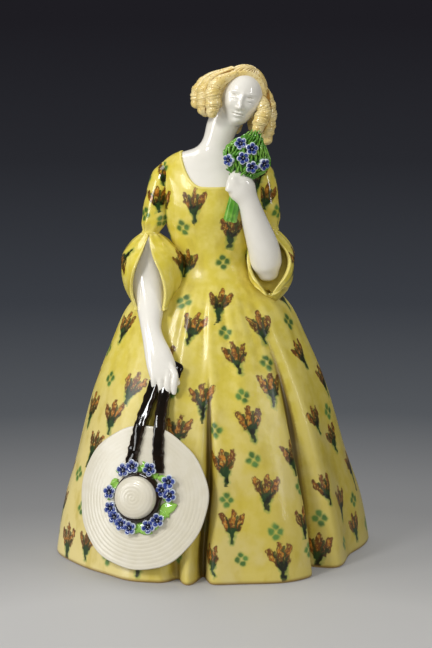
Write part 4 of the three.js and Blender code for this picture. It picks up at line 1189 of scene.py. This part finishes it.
def build_right_arm():
    elbow = ARMS["right"][2] + (0.5, -1.5, -8)
    at = line_from(elbow, RIGHT_WRIST)
    hand = RIGHT_KNUCKLES - RIGHT_WRIST
    middle = RIGHT_WRIST + hand * 0.6 + (0, -1.5, 0)
    parts = [forearm_and_palm([
        (elbow + (-1.2, -2.0, 2.5), ARM_HALF, 0.8, 0.66), (at(0.2, (-3.3, 1.0, 0)), ARM_HALF, 1.26, 0.94),
        (at(0.42, (-2.5, 2.4, 0)), ARM_HALF, 1.3, 0.96), (at(0.7, (-0.9, 2, 0)), ARM_HALF, 1.06, 0.82),
        (RIGHT_WRIST, WRIST_HALF, 1, 0.78), (middle, PALM_HALF, 0.98, 0.52),
        (RIGHT_KNUCKLES, PALM_HALF, 1, 0.46),
        (middle + (RIGHT_KNUCKLES - middle) * 1.4 + (0, 0.6, 0), PALM_HALF, 0.7, 0.3)])]
    for i, drop in enumerate([9.5, 11.5, 11.5, 9.5]):
        root = RIGHT_KNUCKLES + HAND_ACROSS * (i - 1.5) * PALM_HALF * 0.53 + (0, -1.7, 2)
        tip = root + (0.5 - i * 0.4, -0.9, -drop - 1.2)
        bend = root + (tip - root) * 0.5 + (0, -0.7, 0)
        knuckle = root - hand * 0.24 - HAND_ACROSS * (i - 1.5) * 0.9 + (0, 0.2, 0)
        parts.append(finger([knuckle, root, bend, tip], 2.05))
    parts.append(finger([RIGHT_THUMB + (-1.5, 0.5, 2), RIGHT_THUMB, (RIGHT_THUMB + RIGHT_THUMB_TIP) / 2,
                         RIGHT_THUMB_TIP], 2.35))
    made("right_forearm", fused(parts, 0.36).relaxed(7), "white_glaze", (8, 0.2))


def build_left_arm():
    elbow = np.array([33.5, -14, WAIST + 1.5])
    at = line_from(elbow, LEFT_WRIST)
    on_hand = line_from(LEFT_WRIST, LEFT_FIST)
    parts = [forearm_and_palm([
        (elbow, ARM_HALF, 0.8, 0.72), (at(0.14, (0.6, 0.5, 0)), ARM_HALF, 1.17, 1),
        (at(0.36, (1.4, 0, 0)), ARM_HALF, 1.2, 1), (at(0.72, (0.6, 0, 0)), ARM_HALF, 0.98, 0.82),
        (LEFT_WRIST, WRIST_HALF, 1.08, 0.82), (on_hand(0.55, (-0.3, 0, 0)), PALM_HALF, 1.02, 0.66),
        (LEFT_FIST, PALM_HALF, 0.85, 0.62), (on_hand(1.38), PALM_HALF, 0.42, 0.36)])]
    for i in range(4):
        root = LEFT_FIST + (1.9 - i * 0.7, 2.0, 2.6 - i * 2.45)
        bends = [(-5.2, -2.2, 0.5), (-6.9, -3.6, 0.0), (-5.6, -5.0, -0.5)]
        parts.append(finger([root, *[root + bend for bend in bends]], 2.05 - 0.08 * i))
    thumb = LEFT_FIST + (1.0, -1.6, -3.5)
    bends = [(-2.2, -2.4, 2.2), (-3.8, -3.0, 4.2), (-4.6, -3.2, 6.0)]
    parts.append(finger([thumb, *[thumb + bend for bend in bends]], 1.9))
    shape = fused(parts, 0.36).relaxed(40)
    from_fingers = np.linalg.norm(shape.points - LEFT_FIST - (-5.0, -4.0, 0.5), axis=1)
    shape.relaxed(70, smoothstep(from_fingers, 9.5, 5.0))
    made("left_forearm", shape, "white_glaze", (8, 0.2))


build_right_arm()
build_left_arm()


# Hat

HAT_TURN, HAT_LEAN = math.radians(-24), math.radians(14)
BRIM_RADIUS, BRIM_THICKNESS = 42.2, 2.2
# The brim is bent back round the skirt, with this radius.
BRIM_BEND = 135.0
# Widths of one turn of the plait on the brim and on the crown.
BRIM_PLAIT, CROWN_PLAIT = 2.3, 2.1
CROWN_RADIUS, BAND_WIDTH = 12.4, 2.5
BAND_RADIUS = CROWN_RADIUS + BAND_WIDTH
# Radius, and height out from the brim.
CROWN_PROFILE = [(CROWN_RADIUS, 0.0), (CROWN_RADIUS, 3.0), (CROWN_RADIUS, 5.2), (CROWN_RADIUS * 0.93, 7.4),
                 (CROWN_RADIUS * 0.68, 9.0), (CROWN_RADIUS * 0.34, 9.5), (0.4, 9.6)]
# Radius beyond the band's, size of its ripples, and height out from the brim.
BAND_PROFILE = [(0, 0.12, 0.3), (0.1, 0.14, 1.2), (0, 0.14, 2.2), (-0.35, 0.12, 3.0), (-1.0, 0.1, 3.55),
                (-1.8, 0.05, 3.75), (-BAND_WIDTH - 0.4, 0, 3.5)]
HAT_OUT = np.array([math.sin(HAT_TURN) * math.cos(HAT_LEAN), -math.cos(HAT_TURN) * math.cos(HAT_LEAN),
                    math.sin(HAT_LEAN)])
HAT_SIDE = -unit(np.cross(HAT_OUT, (0, 0, 1)))
HAT_UP = unit(np.cross(HAT_OUT, HAT_SIDE))
HAT_SEAT = skirt_point(-30.9, 49.7, BRIM_THICKNESS * 2.6)


def on_hat(across, up, out):
    """A point on the bent brim: across it, up it, and out from its face."""
    across, up, out = np.broadcast_arrays(*[np.asarray(v, float) for v in (across, up, out)])
    bend = across / BRIM_BEND
    reach = BRIM_BEND + out
    return (HAT_SEAT + up[..., None] * HAT_UP + (np.sin(bend) * reach)[..., None] * HAT_SIDE
            + (np.cos(bend) * reach - BRIM_BEND)[..., None] * HAT_OUT)


def hat_stack(turn, levels):
    """A body of round outlines on the hat, from radius and height out at each turn or all round."""
    return loft([on_hat(np.cos(turn) * radius, np.sin(turn) * radius, out) for radius, out in levels])


def build_hat():
    turn = circle(300)
    backing = BRIM_RADIUS * 0.8
    uneven = 0.35 * np.sin(5 * turn + 0.6) + 0.2 * np.sin(11 * turn)
    levels = [(backing * 0.9, -BRIM_THICKNESS * 5), (backing, -BRIM_THICKNESS),
              (BRIM_RADIUS - 0.6, -BRIM_THICKNESS), (BRIM_RADIUS + uneven, -BRIM_THICKNESS * 0.7),
              (BRIM_RADIUS + 0.2 + uneven, -BRIM_THICKNESS * 0.35), (BRIM_RADIUS - 0.2 + uneven, -0.1)]
    for radius in np.linspace(BRIM_RADIUS - 0.7, 9.0, 130):
        plait = 1 - abs(math.sin(math.pi * radius / BRIM_PLAIT))
        levels.append((radius + uneven * (radius / BRIM_RADIUS) ** 6,
                       -(0.07 - 0.04 * np.sin(turn - 0.3)) * plait))
    made("hat_brim", hat_stack(turn, levels), "straw_glaze", (9, 0.13))

    turn = circle(160)
    radii, heights = [smooth_at(column, np.linspace(0, 1, 90)) for column in zip(*CROWN_PROFILE)]
    run = np.concatenate([[0], np.cumsum(np.hypot(np.diff(radii), np.diff(heights)))])
    levels = []
    for radius, height, length in zip(radii, heights, run):
        ridge = 0.11 * np.abs(np.sin(math.pi * length / CROWN_PLAIT + turn / 2))
        steep = min(1.0, radius / CROWN_RADIUS)
        levels.append((radius + ridge * steep, height + ridge * (1 - steep * 0.6)))
    made("hat_crown", hat_stack(turn, levels), "straw_glaze", (9, 0.13))

    turn = circle(220)
    ripple = np.sin(9 * turn) + 0.6 * np.sin(17 * turn + 1)
    levels = [(BAND_RADIUS + out + size * ripple, height) for out, size, height in BAND_PROFILE]
    made("hat_band", hat_stack(turn, levels), "black_glaze", (8, 0.2))


build_hat()


def blade(place, length, width, thickness, lift, teeth, sides=9, steps=26):
    """A leaf along a direction: place(along, across, out) sets its points. It has a raised rib."""
    t = np.linspace(0.0, 1.0, steps)
    half = width * (np.sin(math.pi * t ** 0.8) ** 0.75) * (1 + 0.1 * teeth * np.abs(np.sin(9 * math.pi * t)))
    half = np.maximum(half, 0.04)
    rings = []
    for s, h in zip(t, half):
        across = np.concatenate([np.linspace(-1, 1, sides), np.linspace(1, -1, sides)[1:-1]])
        top = np.concatenate([np.ones(sides), np.zeros(sides - 2)])
        body = thickness * (0.35 + 0.65 * top) * (1 - across ** 2 * 0.8)
        rib = 0.35 * thickness * np.exp(-(across / 0.16) ** 2) * top * min(1.0, h / width * 2)
        bow = lift * math.sin(math.pi * s)
        rings.append(place(np.full(len(across), s * length), across * h,
                           np.where(top > 0, body + rib, -0.15) + bow))
    return loft(rings)


def blossom(place, radius, depth, turn, height):
    """A flower of five round petals with a button, and the values that its glaze reads."""
    sides = 120
    angle = circle(sides)
    lobe = np.abs(np.cos((angle - turn) * 2.5)) ** 0.45
    outline = radius * (0.55 + 0.45 * lobe)
    rings = [place(np.cos(angle) * outline * 0.8, np.sin(angle) * outline * 0.8, np.full(sides, -depth))]
    rims, grooves = [np.ones(sides)], [np.zeros(sides)]
    for s in np.linspace(1, 0.06, 22):
        cup = height * (0.55 + 0.45 * math.sin(math.pi * min(1.0, (1 - s) * 1.25 + 0.08)))
        cup = cup - 0.75 * math.exp(-((s - 0.3) / 0.13) ** 2) + 0.55 * math.exp(-(s / 0.16) ** 2)
        groove = (1 - lobe) * math.sin(math.pi * s)
        rings.append(place(np.cos(angle) * outline * s, np.sin(angle) * outline * s, cup - 0.55 * groove))
        rims.append(np.full(sides, s))
        grooves.append((1 - lobe) * (0.3 < s < 0.9))
    return (loft(rings), {"rim": np.concatenate([*rims, [1.0, 0.0]]),
                          "groove": np.concatenate([*grooves, [0.0, 0.0]])})


WREATH_RADIUS, WREATH_LIFT = 18.4, 1.9
# Angle on the hat, size and lean of a tuft's largest leaf.
WREATH_LEAVES = [(88, 0.9, 80), (50, 0.9, 60), (-24, 1.2, 48), (-36, 0.9, -50), (-86, 1.15, 62), (150, 1, 95)]
# Angle on the hat, and how much farther out than the ring of flowers.
WREATH_FLOWERS = [(125, 0), (105, 0), (70, 0), (31, 3.2), (22, -2.2), (10, 1.8), (-40, 0), (-61, 0), (-98, 0),
                  (-117, 0), (-136, 0), (-154, 0), (176, 0)]


def leaf_on_hat(at, foot, lean):
    """Places of a leaf that starts on the brim at an angle, foot from the crown's middle."""
    angle = math.radians(at)
    heading = angle + math.radians(lean)

    def place(along, across, out):
        return on_hat(math.cos(angle) * foot + math.cos(heading) * along - math.sin(heading) * across,
                      math.sin(angle) * foot + math.sin(heading) * along + math.cos(heading) * across,
                      out + 0.25)

    return place


def build_wreath():
    for number, (at, size, lean) in enumerate(WREATH_LEAVES, 1):
        tuft = [blade(leaf_on_hat(at, BAND_RADIUS + 0.6, lean), 9.6 * size, 2.9 * size, 0.9, 0.4, 1)]
        for step in range(-3, 4):
            place = leaf_on_hat(at + step * 11 + rng.uniform(-3, 3), BAND_RADIUS + 1.2 + rng.uniform(0, 1.5),
                                rng.choice((-1, 1)) * rng.uniform(45, 85))
            tuft.append(blade(place, rng.uniform(6.0, 7.6), 1.8, 0.9, 0.3, 1))
        made(f"wreath_leaf_{number}", joined(tuft), "green_glaze", (6, 0.1))
    for number, (at, shift) in enumerate(WREATH_FLOWERS, 1):
        radius = WREATH_RADIUS + shift
        angle = math.radians(at)

        def place(across, up, out):
            return on_hat(math.cos(angle) * radius + across, math.sin(angle) * radius + up,
                          np.maximum(out + WREATH_LIFT, 0.2))

        shape, values = blossom(place, 4.4, WREATH_LIFT, rng.uniform(0, 1.2), 1.9)
        made(f"wreath_flower_{number}", shape, "blue_glaze", (6, 0.1), **values)


build_wreath()


# Ribbons

RIBBON_WIDTH, RIBBON_THICKNESS, RIBBON_BACK = 6.1, 1.6, 5.0
# Place across the hand, place across and up the hat, breadth, and slant from edge to edge.
RIBBONS = [(-5.8, -7, 19, 1.12, -0.45), (0.6, 11.2, 15.5, 1.0, 0.7)]


def build_ribbons():
    t = np.linspace(0, 1, 110)
    columns = np.linspace(-1, 1, 25)
    for number, (hand, across, up, breadth, slant) in enumerate(RIBBONS, 1):
        top = RIGHT_KNUCKLES + HAND_ACROSS * hand + (0, -1, -4)
        rests = RIBBON_THICKNESS * 0.6 + 0.3
        run = top - HAT_SEAT
        share = (BRIM_RADIUS - 3 - up) / (run @ HAT_UP - up)
        edge = on_hat(across + (run @ HAT_SIDE - across) * share, BRIM_RADIUS - 3, rests)
        spine = along_curve([top, edge, on_hat(across, up, rests)], t)
        side = unit(np.cross(unit(np.gradient(spine, axis=0)), HAT_OUT))
        rings = []
        for k, s in enumerate(t):
            ragged = 1 + 0.06 * math.sin(s * 41 + number) + 0.045 * math.sin(s * 73 + 2 * number)
            fray = 1 + 0.12 * smoothstep(s, 0.85, 1.0)
            half = RIBBON_WIDTH / 2 * ragged * fray * breadth
            crumple = 0.13 * math.sin(s * 17 + number) + 0.06 * math.sin(s * 43)
            fold = 0.14 * np.cos(columns * 3.4 + 1.4 * math.sin(s * 9 + number)) + crumple + slant * columns
            crown = RIBBON_THICKNESS * 0.62 * (1 - columns ** 4 * 0.55) + fold
            front = spine[k] + side[k] * (columns * half)[:, None] + HAT_OUT * crown[:, None]
            rear = spine[k] + side[k] * (columns[::-1] * half * 0.94)[:, None] - HAT_OUT * RIBBON_BACK
            rings.append(np.vstack([front, rear]))
        made(f"ribbon_{number}", loft(rings), "black_glaze", (6, 0.2))

    on_thumb = line_from(RIGHT_THUMB, RIGHT_THUMB_TIP)
    top, end = on_thumb(0.3, HAND_ACROSS * 2.6), on_thumb(0.8, HAND_ACROSS * 2.4)
    middle = top + (end - top) * 0.45 + (1.2, -0.5, 0)
    loops = [limb([(top, 0.8, 0.8), (middle, 2.2, 1.6), (end, 0.9, 0.9)], 40, 50),
             limb([(top + (0.3, 0, 0.6), 0.7, 0.7), (middle + (2.0, 0.2, 1.6), 1.0, 0.8),
                   (middle + (1.8, 0, -1.4), 0.8, 0.7)], 24, 30)]
    made("ribbon_bow", fused(loops, 0.3).relaxed(4), "black_glaze", (8, 0.2))


build_ribbons()


# Posy

POSY_CENTRE = LEFT_FIST + (5, 3.5, 13.8)
POSY_HALF = np.array([13.4, 8.5, 15.5])
POSY_TILT = math.radians(20)
POSY_LEAVES = 210
# Across and up from the posy's middle, seen from the front.
POSY_FLOWERS = [(-6.2, 6.6), (0.6, 6), (-2.2, -0.4), (-9.2, -4.6), (4, -3.6), (9.8, 0)]
STEMS_ROUND, STEM_LENGTH = 8, 21


def on_posy(across, up):
    """Where the mound's surface lies at a place seen from the front, and its way out there."""
    u, w = across / POSY_HALF[0], up / POSY_HALF[2]
    bulge = math.sqrt(max(0.06, 1 - u * u - w * w))
    point = np.array([across, -bulge * POSY_HALF[1], up])
    out = unit(np.array([u / POSY_HALF[0], -bulge / POSY_HALF[1], w / POSY_HALF[2]]))
    return turned(point, (0, 1, 0), POSY_TILT) + POSY_CENTRE, turned(out, (0, 1, 0), POSY_TILT)


def placed_on_posy(points):
    """The bunch is drawn in towards its top and a little towards its foot."""
    points = np.array(points, float)
    high = points[..., 2] / POSY_HALF[2]
    points[..., 0] *= 1.04 - 0.42 * smoothstep(high, 0.05, 1.0) - 0.3 * smoothstep(-high, 0.1, 1.0)
    return turned(points, (0, 1, 0), POSY_TILT) + POSY_CENTRE


def build_posy():
    mound = ball((0, 0, 0), POSY_HALF * 0.9, 90, 60)
    mound.points = placed_on_posy(mound.points)
    parts = [mound]
    golden = math.pi * (3 - math.sqrt(5))
    for k in range(POSY_LEAVES):
        height = 1 - 2 * (k + 0.5) / POSY_LEAVES
        ring = math.sqrt(1 - height * height)
        direction = np.array([math.cos(golden * k) * ring, math.sin(golden * k) * ring, height])
        base = direction * POSY_HALF * 0.86
        out = unit(direction / POSY_HALF)
        upward = np.array([rng.uniform(-0.7, 0.7), rng.uniform(-0.3, 0.3), 1.0])
        along = unit(upward - out * (upward @ out) + out * rng.uniform(0.12, 0.34))
        side = unit(np.cross(along, out))
        lift = np.cross(side, along)
        length = rng.uniform(5.0, 8.0)

        def place(a, b, c):
            return placed_on_posy(base + (a - length * 0.4)[:, None] * along + b[:, None] * side
                                  + (c + 0.3)[:, None] * lift)

        parts.append(blade(place, length, rng.uniform(0.8, 1.15), 0.8, rng.uniform(0.3, 1.1), 0, 5, 12))
    shape = joined(parts)
    # The mound under the leaves is painted dark, as painted shade between the leaves.
    shaded_mound = np.arange(len(shape.points)) < len(mound.points)
    made("posy_leaves", shape, "green_glaze", np.maximum(shape.hollow(4, 0.2), 0.8 * shaded_mound))

    for number, (across, up) in enumerate(POSY_FLOWERS, 1):
        point, out = on_posy(across, up)
        side = -unit(np.cross(out, (0, 0, 1)))
        rise = unit(np.cross(out, side))

        def place(a, b, c):
            return point + a[:, None] * side + b[:, None] * rise + (c + 0.7)[:, None] * out

        shape, values = blossom(place, 3.9, 2.4, rng.uniform(0, 1.2), 1.8)
        made(f"posy_flower_{number}", shape, "blue_glaze", (6, 0.1), **values)

    top = LEFT_FIST + (-0.5, 1.5, -4)
    foot = top + (-STEM_LENGTH * 0.22, 2, -STEM_LENGTH * 0.97)
    way = unit(foot - top)
    side = unit(np.cross(way, (0, -1, 0)))
    stems = []
    for k in range(STEMS_ROUND + 1):
        angle = k * 2 * math.pi / STEMS_ROUND
        # The last one is in the middle.
        offset = (side * math.cos(angle) * 2.75 + np.array([0, 1.5, 0]) * math.sin(angle)) * (k < STEMS_ROUND)
        end = offset * 1.12 + way * rng.uniform(-0.9, 0.4)
        stems.append(limb([(top + offset * 0.9, 1.15, 1.15), ((top + foot) / 2 + offset, 1.2, 1.2),
                           (foot + end, 1.15, 1.15)], 24, 40, rounds=0.35))
    made("posy_stems", fused(stems, 0.3).relaxed(9), "green_glaze", (8, 0.15))


build_posy()
